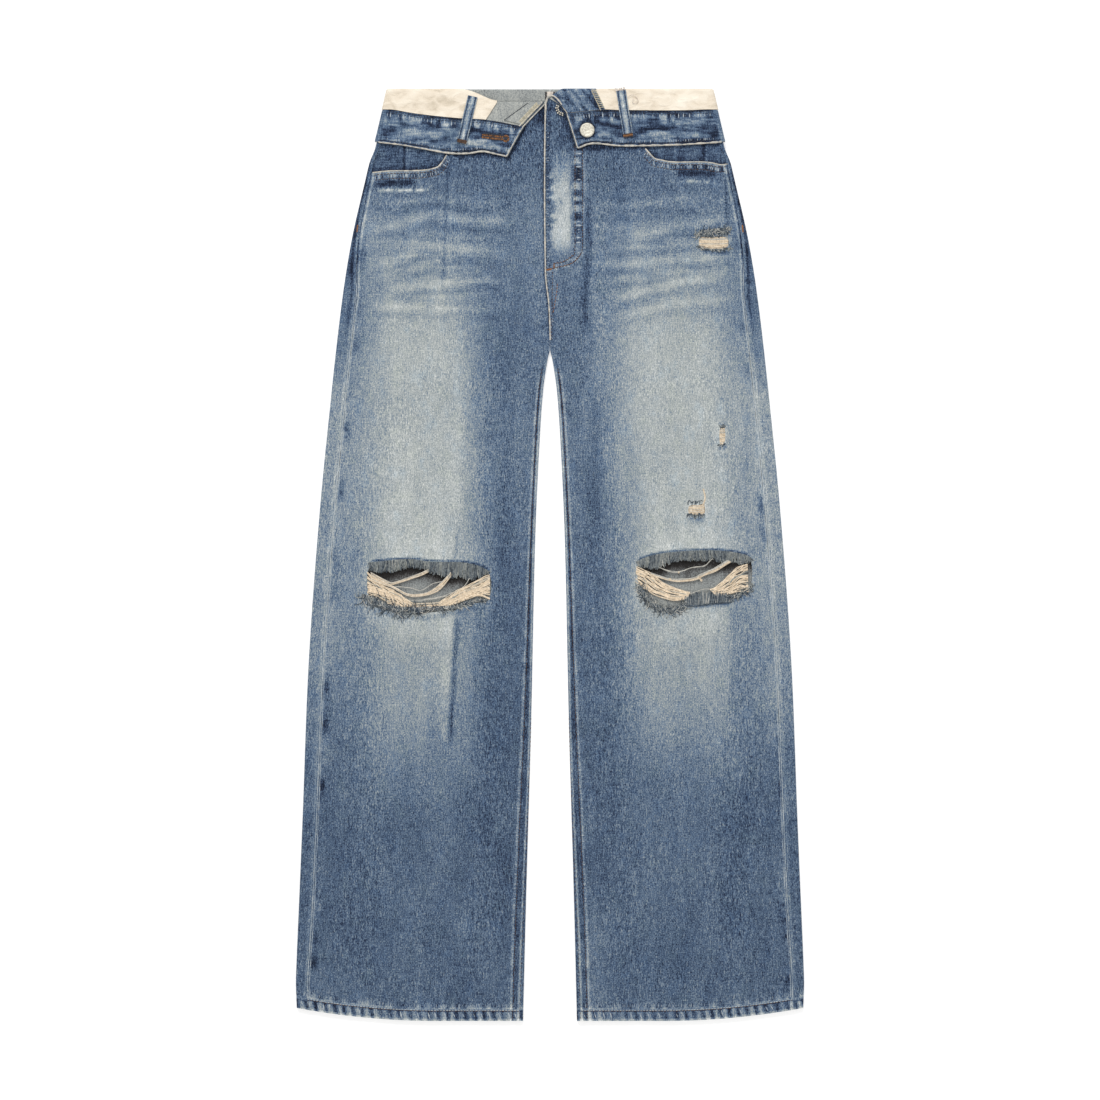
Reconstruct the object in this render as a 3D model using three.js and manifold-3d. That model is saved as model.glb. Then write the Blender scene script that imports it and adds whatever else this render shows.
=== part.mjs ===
// Ripped wide-leg jeans, laid on their back with the waist turned down outwards all round.
// Millimetres. +X is to the viewer's right, +Y runs towards the waist, +Z out of the front.
// The garment is one flattened tube at the hips and two below the crotch. Every cloth piece is a
// skin: a grid of points half way through the cloth, made solid by half its thickness each way.

import * as THREE from 'three';
import { mergeVertices } from 'three/addons/utils/BufferGeometryUtils.js';
import Module from 'manifold-3d';

// Cloth and the room between pieces
const DENIM = 1.2;
const DOUBLE = 2.4; // the hem and the waistband
const LINING = 1.0; // pocket bag cotton
const GAP = 0.3;

// Heights along the garment, from the middle of its length
const HEM_Y = -535;
const HEM_TOP_Y = -522.5;
const CROTCH_Y = 234.6;
const FRONT_FOLD_Y = 532; // where the turn at the waist begins
const BACK_FOLD_Y = 533.35;
const BAND_SEAM_Y = 510.6;
const BAND_FREE_Y = 470.6;

// The waist's turn: a half round of this radius, which lays the turned cloth 2.1 mm further out
const FOLD_R = 1.05;
const TURNED = 2 * FOLD_R;

// Front air in each leg, back pockets below the hips
const CROWN = 1.5;
const POCKET_LIFT = DENIM + GAP;
const WAIST_LIFT = 2.7; // room for the turned waistband underneath

// Belt loops, button and zip slider
const LOOP_WIDTH = 11;
const LOOP_TOP_Y = 517; // of the loops at the back
const LOOP_BOTTOM_Y = 474;
const BACK_LOOP_X = 112;
const BUTTON_AT = [42.6, 487];
const SLIDER_AT = [15, 512.3];
const SLIDER_OUTER_R = 8.6;
const SLIDER_INNER_R = 5;
const SLIDER_DEPTH = 2;

// The fly facing's two ends: x at the fold and x at the waistband seam
const FLY_FACING_OUTER = [53.1, 63];
const FLY_FACING_INNER = [2.5, 20.8];

// Steps of the grids
const SIDE_STEPS = 4; // from the side seam to the flat
const FLATS = 9; // across a front's flat
const BACK_FLATS = 6;
const TURN_STEPS = 4; // round a fold
const BAND_TURN_STEPS = 6; // of the waistband round the side

const lerp = THREE.MathUtils.lerp;
const ease = (from, to, at) => THREE.MathUtils.smoothstep(at, from, to);
const fall = (from, to, at) => 1 - ease(from, to, at);

// A smooth curve through [place, value] knots in rising order of place.
function through(knots) {
  const last = knots.length - 1;
  const slopes = knots.map((_, i) => {
    const a = knots[Math.max(i - 1, 0)];
    const b = knots[Math.min(i + 1, last)];
    return (b[1] - a[1]) / (b[0] - a[0]);
  });
  return (at) => {
    let i = 0;
    while (i < last - 1 && at > knots[i + 1][0]) i += 1;
    const width = knots[i + 1][0] - knots[i][0];
    const t = THREE.MathUtils.clamp((at - knots[i][0]) / width, 0, 1);
    const from = (1 + 2 * t) * (1 - t) ** 2 * knots[i][1] + t * (1 - t) ** 2 * width * slopes[i];
    const to = t * t * (3 - 2 * t) * knots[i + 1][1] - t * t * (1 - t) * width * slopes[i + 1];
    return from + to;
  };
}

// Half the garment's width, the inner edge of a leg, and how far the side seam lies in from the edge
const outline = through([
  [-535, 291], [-500, 292], [-293, 284], [-121, 277.2], [52, 264.5], [190, 250.7],
  [299, 238], [368, 226.6], [437, 210.5], [489, 197.8], [533, 187.5],
]);
const innerEdge = through([
  [-535, 31], [-397, 27.6], [-190, 21.9], [17, 17.3], [121, 12.7], [190, 8], [226, 2.5], [234.6, 0.15],
]);
const seamInset = through([
  [-535, 12], [-370, 15], [293, 15], [337, 10], [365, 7.5], [420, 5.5], [470, 4.5],
]);

// The centre-front edge: the right front laps over the left along the fly
const flyEdge = through([[234.6, 0], [285, -1.6], [325, -5.75], [515, -5.75], [527, -1]]);

const hemLift = (x) => 15 * (Math.max(Math.abs(x) - 130, 0) / 161) ** 2;
const hemShare = (y) => fall(HEM_Y, -380, y);

const clothAt = (y) => lerp(DOUBLE, DENIM, ease(HEM_TOP_Y, HEM_TOP_Y + 2, y));
const radiusAt = (y) => (clothAt(y) + 0.6) / 2 + 0.6 * ease(390, 430, y);
const backLevel = (y) => clothAt(y) / 2 + POCKET_LIFT * ease(165, 200, y) + WAIST_LIFT * ease(410, 452, y);
const levelAt = (y) => backLevel(y) + radiusAt(y);
const quarterAt = (y) => Math.PI * radiusAt(y) / 2;
const waistInset = (y) => (DOUBLE / 2 + TURNED - DENIM / 2) * ease(448, 468, y);
const sideCentre = (y) => outline(y) - clothAt(y) / 2 - radiusAt(y) - waistInset(y);
const seamAt = (y) => (seamInset(y) - radiusAt(y) - DENIM / 2 + quarterAt(y)) * fall(478, 503, y);

// Half the room left at the side seam, a little more at the thick hem
const halfGap = (y) => GAP / 2 + 0.25 * fall(HEM_TOP_Y, -440, y);

// A place on the right half of the tube: s runs from the outermost point, above 0 over the front.
function section(y, s, out = 0) {
  const r = radiusAt(y);
  const flat = Math.abs(s) - quarterAt(y);
  const angle = flat > 0 ? Math.sign(s) * Math.PI / 2 : s / r;
  const x = sideCentre(y) - Math.max(flat, 0) + (r + out) * Math.cos(angle);
  return new THREE.Vector3(x, y, levelAt(y) + (r + out) * Math.sin(angle));
}

// Reach along the section from the outermost point to x on the flat
const reach = (y, x) => quarterAt(y) + sideCentre(y) - x;

// The direction of a row of points at one of them, as a parabola through it and its neighbours has it.
function tangent(row, j) {
  const middle = THREE.MathUtils.clamp(j, 1, row.length - 2);
  const before = new THREE.Vector3().subVectors(row[middle], row[middle - 1]);
  const after = new THREE.Vector3().subVectors(row[middle + 1], row[middle]);
  const [a, b] = [before.length(), after.length()];
  before.divideScalar(a);
  after.divideScalar(b);
  const bend = new THREE.Vector3().subVectors(after, before).divideScalar(a + b);
  const shift = a + (j < middle ? -a : 0) + (j > middle ? b : 0);
  return before.addScaledVector(bend, 2 * shift - a);
}

function normalAt(grid, i, j) {
  const before = grid[Math.max(i - 1, 0)][j];
  const after = grid[Math.min(i + 1, grid.length - 1)][j];
  return tangent(grid[i], j).cross(new THREE.Vector3().subVectors(after, before)).normalize();
}

// A closed solid from a grid of points and the cloth's thickness there.
function skin(grid, thickness) {
  const rows = grid.length;
  const columns = grid[0].length;
  const places = [];
  for (const face of [0.5, -0.5]) {
    grid.forEach((row, i) => row.forEach((point, j) => {
      places.push(point.clone().addScaledVector(normalAt(grid, i, j), face * thickness(point)));
    }));
  }
  const index = [];
  const quad = (a, b, c, d) => index.push(a, b, c, a, c, d);
  const under = rows * columns;
  const at = (i, j) => i * columns + j;
  for (let i = 0; i < rows - 1; i += 1) {
    for (let j = 0; j < columns - 1; j += 1) {
      quad(at(i, j), at(i, j + 1), at(i + 1, j + 1), at(i + 1, j));
      quad(under + at(i, j), under + at(i + 1, j), under + at(i + 1, j + 1), under + at(i, j + 1));
    }
  }
  const rim = [];
  for (let j = 0; j < columns - 1; j += 1) rim.push(at(0, j));
  for (let i = 0; i < rows - 1; i += 1) rim.push(at(i, columns - 1));
  for (let j = columns - 1; j > 0; j -= 1) rim.push(at(rows - 1, j));
  for (let i = rows - 1; i > 0; i -= 1) rim.push(at(i, 0));
  rim.forEach((a, k) => {
    const b = rim[(k + 1) % rim.length];
    quad(b, a, under + a, under + b);
  });
  return solid(places, index);
}

// Triangles turned so that the faces look outwards.
function solid(places, index) {
  let volume = 0;
  for (let k = 0; k < index.length; k += 3) {
    const [a, b, c] = [places[index[k]], places[index[k + 1]], places[index[k + 2]]];
    volume += a.dot(new THREE.Vector3().crossVectors(b, c));
  }
  if (volume < 0) index.reverse();
  const geometry = new THREE.BufferGeometry();
  geometry.setAttribute('position', new THREE.Float32BufferAttribute(places.flatMap((p) => [...p]), 3));
  geometry.setIndex(index);
  return geometry;
}

// The left side is the right side's mirror image.
const sided = (side, grid) => grid.map((row) => row.map((p) => new THREE.Vector3(side * p.x, p.y, p.z)));

// A flat plate of the outline given, from z up.
function plate(outlinePoints, z, thickness = DENIM) {
  const shape = new THREE.Shape(outlinePoints.map(([x, y]) => new THREE.Vector2(x, y)));
  const geometry = new THREE.ExtrudeGeometry(shape, { depth: thickness, bevelEnabled: false });
  geometry.translate(0, 0, z);
  geometry.deleteAttribute('normal');
  geometry.deleteAttribute('uv');
  return mergeVertices(geometry);
}

const library = await Module();
library.setup();

function manifoldOf(geometry) {
  return new library.Manifold(new library.Mesh({
    numProp: 3,
    vertProperties: new Float32Array(geometry.getAttribute('position').array),
    triVerts: new Uint32Array(geometry.getIndex().array),
  }));
}

function cutAway(geometry, cutters) {
  const left = cutters.reduce((rest, cutter) => rest.subtract(manifoldOf(cutter)), manifoldOf(geometry));
  const mesh = left.getMesh();
  const result = new THREE.BufferGeometry();
  result.setAttribute('position', new THREE.BufferAttribute(mesh.vertProperties, 3));
  result.setIndex(new THREE.BufferAttribute(mesh.triVerts, 1));
  return result;
}

// Front panels: hem to waist, over the turn, and down to the waistband seam.

const SIDES = {
  left: {
    side: -1,
    foldY: (x) => lerp(FRONT_FOLD_Y, 518.2, ease(-108, -56, x)),
    edgeX: (y) => GAP / 2 - flyEdge(y),
    bandSeam: through([[-183, 510.6], [-152, 505.6], [-108, 501], [-70, 498.6], [-31, 491.4]]),
    bandFree: through([
      [-200, 474], [-167, 470], [-116, 461], [-94, 460.6], [-78, 462.8], [-65, 460.6], [-50, 457.4],
    ]),
    seamEnd: 31,
    freeEnd: 49.8,
    bow: 1,
    mouth: [
      [-215, 438], [-203.6, 438.7], [-183, 440.7], [-150.7, 441.1], [-132.3, 443.9],
      [-125.4, 448.5], [-118.5, 459], [-114, 500], [-215, 500],
    ],
    knee: [
      [-208, -15], [-186, -9], [-159, -8], [-120, -11.5], [-98, -14], [-70, -22], [-71, -52],
      [-92, -55], [-106, -62], [-132, -65.5], [-161, -68], [-190, -63], [-207, -52],
    ],
    wornThrough: [],
    bagEnd: [61, 73.6],
    facingInner: 108,
  },
  right: {
    side: 1,
    foldY: (x) => lerp(524.5, FRONT_FOLD_Y, ease(-2, 12, x)),
    edgeX: (y) => GAP / 2 + flyEdge(y),
    bandSeam: through([[19.6, 506.6], [62, 510.6], [78, 510], [147, 509.5], [183, 510.6]]),
    bandFree: through([[32, 467], [48, 472], [79, 469.5], [104, 469.5], [147, 470.6], [200, 474]]),
    seamEnd: 19.6,
    freeEnd: 32,
    bow: 1.5,
    mouth: [
      [215, 448], [203.6, 448.5], [195.5, 447.7], [178.3, 450.8], [141.5, 450.8], [127.7, 453.1],
      [119.6, 455.4], [109.3, 466.3], [104, 500], [215, 500],
    ],
    knee: [
      [100, -15], [115, -3.5], [142.6, 0], [179.4, 1], [212.8, -1], [231, -9], [229, -38],
      [211.6, -47], [172.5, -50.6], [158.7, -55], [145, -64.4], [120.8, -63], [107, -52],
    ],
    wornThrough: [
      [[172.5, 365], [188, 366.5], [203, 364.5], [204, 354], [188, 351.5], [173, 353]],
      [[195, 145], [200.5, 147], [201, 131], [195.5, 127]],
      [[160, 56.5], [172, 57.5], [176.5, 61], [177, 47.5], [160.5, 47]],
    ],
    bagEnd: [53.5, 63.4],
    facingInner: 99,
  },
};

const LEG_ROWS = [-522.6, -520.4, -440, -350, -250, -150, -60, 20, 100, 160, 190, 212, 226, CROTCH_Y];
const HIP_ROWS = [255, 285, 325, 365, 390, 410, 424, 438, 452, 468];
const PLAIN_FOLD_Y = 520; // heights at which the width is taken before a slanting line is followed
const PLAIN_YOKE_Y = 490;

const innerX = (y, edgeX) => (y < CROTCH_Y ? innerEdge(y) : edgeX);

// How far across the flat a front's column lies, 0 at its start and 1 at the inner edge
const flatShare = (column) => Math.max(column - SIDE_STEPS, 0) / FLATS;

const FRONT_COLUMNS = [...Array(FLATS + SIDE_STEPS + 1).keys()];

// The reach of a front's column, from the side seam to the inner edge.
function frontReach(y, column, innerMost) {
  const start = seamAt(y) + halfGap(y);
  const flatStart = Math.max(quarterAt(y), start) + 1.5;
  if (column < SIDE_STEPS) return lerp(start, flatStart, column / SIDE_STEPS);
  return lerp(flatStart, reach(y, innerMost), flatShare(column));
}

// Where a front's column meets the fold.
function foldAt(spec, column) {
  const guess = section(PLAIN_FOLD_Y, frontReach(PLAIN_FOLD_Y, column, spec.edgeX(PLAIN_FOLD_Y)));
  return spec.foldY(spec.side * guess.x);
}

function frontGrid(spec) {
  const rows = [];
  for (const y of [HEM_Y, ...LEG_ROWS, ...HIP_ROWS, 485, 498, 508]) {
    rows.push(FRONT_COLUMNS.map((column) => {
      const point = section(y, frontReach(y, column, innerX(y, spec.edgeX(y))));
      const crown = Math.sin(Math.PI * flatShare(column)) * fall(150, 230, y) * ease(HEM_TOP_Y, -470, y);
      point.z += CROWN * crown;
      point.y += hemLift(point.x) * hemShare(y);
      return point;
    }));
  }
  // The turn: the same columns at the fold line, carried round FOLD_R
  const foldPoint = (column, angle) => {
    const y = foldAt(spec, column);
    const s = frontReach(y, column, spec.edgeX(y));
    const point = section(y, s, FOLD_R * (1 - Math.cos(angle)));
    point.y += FOLD_R * Math.sin(angle);
    return point;
  };
  for (let k = 0; k <= TURN_STEPS; k += 1) {
    rows.push(FRONT_COLUMNS.map((column) => foldPoint(column, Math.PI * k / TURN_STEPS)));
  }
  // Turned cloth, from the fold to the waistband seam
  for (const t of [0.3, 0.65, 1]) {
    rows.push(FRONT_COLUMNS.map((column) => turnedPoint(spec, column, t)));
  }
  return rows;
}

// A point of the turned front cloth: t = 0 at the fold and 1 at the waistband seam.
function turnedPoint(spec, column, t) {
  const top = foldAt(spec, column);
  const seamX = lerp(sideCentre(BAND_SEAM_Y), spec.seamEnd, flatShare(column));
  const y = lerp(top, spec.bandSeam(spec.side * seamX) + GAP, t);
  const inner = lerp(spec.edgeX(top), spec.seamEnd, 1 - (1 - t) ** spec.bow);
  return section(y, frontReach(y, column, inner), TURNED);
}

const panelCloth = (point) => clothAt(point.y - hemLift(point.x) * hemShare(point.y));

function front(spec) {
  const cutters = [plate(spec.mouth, 4, 4.85), plate(spec.knee, 1, 7)];
  spec.wornThrough.forEach((hole) => cutters.push(plate(hole, 1, 9)));
  return cutAway(skin(sided(spec.side, frontGrid(spec)), panelCloth), cutters);
}

// Back panels: they wrap round the outer edge to the side seam and stop at the yoke.

const yokeSeam = (x) => lerp(478, 508, Math.abs(x) / 195);

function backGrid(side) {
  const columns = [...Array(BACK_FLATS + 6).keys()];
  const reachAt = (y, column) => {
    const start = seamAt(y) - halfGap(y);
    const arcTop = Math.min(start - 0.4, quarterAt(y));
    if (column === 0) return start;
    if (column < 6) return lerp(arcTop, -quarterAt(y), (column - 1) / 4);
    return -lerp(quarterAt(y), reach(y, innerX(y, GAP / 2)), (column - 5) / BACK_FLATS);
  };
  const rows = [HEM_Y, ...LEG_ROWS, ...HIP_ROWS].map((y) => columns.map((column) => {
    const point = section(y, reachAt(y, column));
    point.y += hemLift(point.x) * hemShare(y);
    return point;
  }));
  rows.push(columns.map((column) => {
    const guess = section(PLAIN_YOKE_Y, reachAt(PLAIN_YOKE_Y, column));
    const y = yokeSeam(guess.x) - GAP / 2;
    return section(y, reachAt(y, column));
  }));
  return sided(side, rows);
}

const back = (side) => skin(backGrid(side), panelCloth);

// Yokes: from the seam with the back up to the fold, then turned down behind it.
function yoke(side) {
  const reachAt = (y, column) => {
    const flatStart = quarterAt(y) + 1.5;
    if (column < SIDE_STEPS) return -lerp(GAP / 2, flatStart, column / SIDE_STEPS);
    return -lerp(flatStart, reach(y, GAP / 2), flatShare(column));
  };
  const rows = [0, 0.5].map((t) => FRONT_COLUMNS.map((column) => {
    const guess = section(PLAIN_YOKE_Y, reachAt(PLAIN_YOKE_Y, column));
    const y = lerp(yokeSeam(guess.x) + GAP / 2, BACK_FOLD_Y, t);
    return section(y, reachAt(y, column));
  }));
  for (let k = 0; k <= TURN_STEPS; k += 1) {
    const angle = Math.PI * k / TURN_STEPS;
    rows.push(FRONT_COLUMNS.map((column) => {
      const s = reachAt(BACK_FOLD_Y, column);
      const point = section(BACK_FOLD_Y, s, FOLD_R * (1 - Math.cos(angle)));
      point.y += FOLD_R * Math.sin(angle);
      return point;
    }));
  }
  for (const t of [0.5, 1]) {
    const y = lerp(BACK_FOLD_Y, BAND_SEAM_Y + GAP, t);
    rows.push(FRONT_COLUMNS.map((column) => section(y, reachAt(y, column), TURNED)));
  }
  return skin(sided(side, rows), () => DENIM);
}

// The waistband: one strip from the left end, round the side and the back, to the right end.
function waistband() {
  const half = (spec) => {
    const columns = [...Array(2 * FLATS + BAND_TURN_STEPS + 1).keys()];
    return columns.map((column) => [0, 0.5, 1].map((v) => {
      const share = Math.max(FLATS - column, 0) / FLATS;
      const backShare = Math.max(column - FLATS - BAND_TURN_STEPS, 0) / FLATS;
      const end = lerp(spec.seamEnd, spec.freeEnd, v);
      const plainY = lerp(BAND_SEAM_Y, lerp(LOOP_BOTTOM_Y, BAND_FREE_Y, Math.min(backShare * 3, 1)), v);
      const x = lerp(sideCentre(plainY), end, share);
      const inFront = column < FLATS;
      const y = inFront ? lerp(spec.bandSeam(spec.side * x), spec.bandFree(spec.side * x), v) : plainY;
      const quarter = quarterAt(y);
      let s = lerp(quarter, -quarter, (column - FLATS) / BAND_TURN_STEPS);
      if (inFront) s = reach(y, x);
      if (backShare > 0) s = -lerp(quarter, reach(y, 0), backShare);
      const point = section(y, s, TURNED);
      return point.setX(spec.side * point.x);
    }));
  };
  const left = half(SIDES.left);
  const right = half(SIDES.right).reverse().slice(1);
  return skin([...left, ...right], () => DOUBLE);
}

// Cloth on the inner face of a turned front, made from the front's own points moved out: it runs
// from inside the garment, round the outside of the fold, and down to the waistband seam.
// Its two ends are given as x at the fold and x at the seam.
function onInnerFace(spec, thickness, outerEnd, innerEnd) {
  const grid = frontGrid(spec).slice(-(TURN_STEPS + 6));
  const foldRow = 2 + TURN_STEPS / 2;
  const raise = (DENIM + thickness) / 2 + GAP;
  const columnOf = (x, t) => {
    const centre = sideCentre(lerp(FRONT_FOLD_Y, BAND_SEAM_Y, t));
    const end = lerp(spec.edgeX(FRONT_FOLD_Y), spec.seamEnd, t);
    return SIDE_STEPS + FLATS * (centre - x) / (centre - end);
  };
  const lastWhole = Math.floor(columnOf(innerEnd[1], 1));
  const rows = grid.map((row, i) => {
    const turned = ease(foldRow - 1, foldRow + 1, i);
    const t = ease(foldRow, grid.length - 1, i);
    const last = columnOf(lerp(innerEnd[0], innerEnd[1], t), t);
    const first = outerEnd ? columnOf(lerp(outerEnd[0], outerEnd[1], t), t) : lerp(4.2, 0.15, turned);
    const places = outerEnd ? [first] : [0, 1, 2, 3, 4, 5].map((k) => lerp(first, 5, k / 5));
    for (let k = Math.floor(places.at(-1)) + 1; k <= lastWhole; k += 1) places.push(k);
    places.push(last);
    return places.map((place) => {
      const k = Math.min(Math.floor(place), row.length - 2);
      const share = place - k;
      const normal = normalAt(grid, i, k).lerp(normalAt(grid, i, k + 1), share).normalize();
      return row[k].clone().lerp(row[k + 1], share).addScaledVector(normal, raise);
    });
  });
  return skin(sided(spec.side, rows), () => thickness);
}

// The denim seen through a pocket mouth, half way between the front and the back.
function pocketFacing(spec) {
  const rows = [424, 438, 452, 468, 485, 498].map((y) => [0, 0.5, 1].map((t) => {
    const x = lerp(sideCentre(y) - 2, spec.facingInner, t);
    return new THREE.Vector3(spec.side * x, y, levelAt(y));
  }));
  return skin(rows, () => DENIM);
}

function backPocket(side) {
  const outlinePoints = [[45, 402], [190, 396], [182, 262], [116, 236], [54, 266]];
  return plate(outlinePoints.map(([x, y]) => [side * x, y]), 0);
}

// A belt loop along the line from its top to its bottom end.
function beltLoop(top, bottom, z) {
  const along = new THREE.Vector2(bottom[0] - top[0], bottom[1] - top[1]).normalize();
  const half = new THREE.Vector2(-along.y, along.x).multiplyScalar(LOOP_WIDTH / 2);
  const corner = ([x, y], way) => [x + way * half.x, y + way * half.y];
  return plate([corner(top, 1), corner(top, -1), corner(bottom, -1), corner(bottom, 1)], z);
}

const backLoop = (x) => beltLoop([x, LOOP_TOP_Y], [x, LOOP_BOTTOM_Y], 0);

// The front loops lie over the pocket bags on the turned cloth, and over the waistband
const FRONT_LOOP_Z = levelAt(500) + radiusAt(500) + TURNED + DENIM / 2 + LINING + 2 * GAP;

// The fly shield's edge, showing beside the left front's turned end.
function flyShield() {
  return plate([[-52, 498.6], [-25, 518], [-11, 518], [-31.5, 493.4]], FRONT_LOOP_Z - LINING - GAP);
}

function button() {
  const profile = [[0, 0], [7.6, 0], [8.4, 0.9], [8.2, 2], [6.8, 2.9], [6, 2.6], [0, 2.9]];
  const geometry = new THREE.LatheGeometry(profile.map(([r, z]) => new THREE.Vector2(r, z)), 24);
  geometry.rotateX(Math.PI / 2);
  const [x, y] = BUTTON_AT;
  geometry.translate(x, y, levelAt(y) + radiusAt(y) + TURNED + DOUBLE / 2 + GAP);
  return geometry;
}

// The zip's slider with its ring, caught in front of the turned edge of the right front.
function zipSlider() {
  const [from, to] = [THREE.MathUtils.degToRad(152), THREE.MathUtils.degToRad(278)];
  const shape = new THREE.Shape();
  shape.absarc(...SLIDER_AT, SLIDER_OUTER_R, from, to, false);
  shape.absarc(...SLIDER_AT, SLIDER_INNER_R, to, from, true);
  const settings = { depth: SLIDER_DEPTH, bevelEnabled: false, curveSegments: 8 };
  const geometry = new THREE.ExtrudeGeometry(shape, settings);
  geometry.translate(0, 0, levelAt(500) + radiusAt(500) + DENIM / 2 + GAP);
  return geometry;
}

const jeans = new THREE.Group();
jeans.name = 'ripped_jeans';

const denim = new THREE.MeshStandardMaterial({ color: '#8493a6', roughness: 0.9 });
const darkDenim = new THREE.MeshStandardMaterial({ color: '#5f7189', roughness: 0.9 });
const cotton = new THREE.MeshStandardMaterial({ color: '#e9dbc4', roughness: 0.95 });
const metal = new THREE.MeshStandardMaterial({ color: '#c9c5bb', roughness: 0.35, metalness: 1 });

function add(name, geometry, material) {
  const mesh = new THREE.Mesh(geometry, material.clone());
  mesh.name = name;
  jeans.add(mesh);
}

for (const [name, spec] of Object.entries(SIDES)) {
  add(`front_${name}`, front(spec), denim);
  add(`back_${name}`, back(spec.side), denim);
  add(`yoke_${name}`, yoke(spec.side), darkDenim);
  add(`pocket_bag_${name}`, onInnerFace(spec, LINING, null, spec.bagEnd), cotton);
  add(`pocket_facing_${name}`, pocketFacing(spec), darkDenim);
  add(`back_pocket_${name}`, backPocket(spec.side), denim);
  add(`belt_loop_back_${name}`, backLoop(spec.side * BACK_LOOP_X), darkDenim);
}
add('waistband', waistband(), darkDenim);
add('fly_facing', onInnerFace(SIDES.right, DENIM, FLY_FACING_OUTER, FLY_FACING_INNER), darkDenim);
add('fly_shield', flyShield(), denim);
add('belt_loop_front_left', beltLoop([-88.6, 525.6], [-101.2, 472.7], FRONT_LOOP_Z), darkDenim);
add('belt_loop_front_right', beltLoop([81, 533], [89.7, 479.6], FRONT_LOOP_Z), darkDenim);
add('belt_loop_back_centre', backLoop(0), darkDenim);
add('button', button(), metal);
add('zip_slider', zipSlider(), metal);

export default jeans;
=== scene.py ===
import math

import bpy
import numpy as np
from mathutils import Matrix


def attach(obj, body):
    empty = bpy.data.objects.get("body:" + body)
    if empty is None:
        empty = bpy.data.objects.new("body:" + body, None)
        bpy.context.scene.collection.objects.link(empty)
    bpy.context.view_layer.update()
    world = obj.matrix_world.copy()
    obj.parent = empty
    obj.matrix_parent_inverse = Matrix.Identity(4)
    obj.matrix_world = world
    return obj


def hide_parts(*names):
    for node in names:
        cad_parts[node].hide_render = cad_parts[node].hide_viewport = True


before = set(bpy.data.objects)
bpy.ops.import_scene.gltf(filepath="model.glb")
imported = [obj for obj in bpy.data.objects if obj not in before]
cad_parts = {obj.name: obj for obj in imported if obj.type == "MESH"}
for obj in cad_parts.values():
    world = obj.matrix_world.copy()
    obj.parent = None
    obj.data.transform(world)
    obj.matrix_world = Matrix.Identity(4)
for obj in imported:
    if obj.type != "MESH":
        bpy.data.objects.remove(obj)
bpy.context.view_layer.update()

# Cloth is worked out in millimetres, as it is cut, and turned into metres as each mesh is made.
MM = 0.001

# ---- camera, light and floor

PICTURE_SPAN = 1.265  # metres across the view at the cloth
PICTURE_CENTRE = (0.0, 0.0058, 0.0)
LENS, SENSOR = 100.0, 36.0
FLOOR_Z = -0.0005


def make_camera():
    data = bpy.data.cameras.new("overhead_camera")
    data.lens = LENS
    data.sensor_width = SENSOR
    data.clip_end = 20
    camera = bpy.data.objects.new("overhead_camera", data)
    height = PICTURE_SPAN / 2 / (SENSOR / 2 / LENS)
    camera.location = (PICTURE_CENTRE[0], PICTURE_CENTRE[1], height)
    bpy.context.collection.objects.link(camera)
    bpy.context.scene.camera = camera


def make_light(name, place, size, power, aim=(0, 0, 0)):
    data = bpy.data.lights.new(name, "AREA")
    data.size = size
    data.energy = power
    lamp = bpy.data.objects.new(name, data)
    lamp.location = place
    away = np.array(place, float) - np.array(aim, float)
    lamp.rotation_euler = (
        math.acos(away[2] / np.linalg.norm(away)), 0, math.atan2(away[1], away[0]) + math.pi / 2)
    bpy.context.collection.objects.link(lamp)


def make_studio():
    """A white world, two soft lamps and the floor."""
    world = bpy.data.worlds.new("studio")
    world.use_nodes = True
    world.node_tree.nodes["Background"].inputs["Color"].default_value = (1, 1, 1, 1)
    world.node_tree.nodes["Background"].inputs["Strength"].default_value = 0.62
    bpy.context.scene.world = world
    bpy.context.scene.view_settings.view_transform = "Standard"
    make_light("key_softbox", (-0.5, 2.3, 2.3), 1.2, 62)
    make_light("top_softbox", (0.6, -0.6, 3.2), 2.4, 26)
    bpy.ops.mesh.primitive_plane_add(size=14, location=(0, 0, FLOOR_Z))
    floor = bpy.context.object
    floor.name = "floor"
    paint = Finish("floor_paint")
    paint.surface(
        paint.ramp(paint.noise((3, 3, 3)), [(0, (0.55,) * 3), (1, (0.57,) * 3)]), roughness=0.9,
        Emission_Color=(1.0, 1.0, 1.0), Emission_Strength=0.5)
    floor.data.materials.append(paint.material)


# ---- materials

class Field:
    """A socket's value in a finish, with the arithmetic that adds Math nodes."""

    def __init__(self, finish, socket):
        self.finish = finish
        self.socket = socket

    def math(self, operation, *values):
        inputs = {i: value for i, value in enumerate(values)}
        return self.finish.node("ShaderNodeMath", {"operation": operation}, inputs)

    def __add__(self, other):
        return self.math("ADD", self, other)

    def __sub__(self, other):
        return self.math("SUBTRACT", self, other)

    def __mul__(self, other):
        return self.math("MULTIPLY", self, other)

    def __rsub__(self, other):
        return self.math("SUBTRACT", other, self)

    __radd__ = __add__
    __rmul__ = __mul__

    def limit(self):
        return self.math("MINIMUM", self.math("MAXIMUM", self, 0.0), 1.0)

    def between(self, low, high):
        """0 below low and 1 above high, softly."""
        settings = {"interpolation_type": "SMOOTHSTEP"}
        return self.finish.node(
            "ShaderNodeMapRange", settings, {"Value": self, "From Min": low, "From Max": high})


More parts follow.
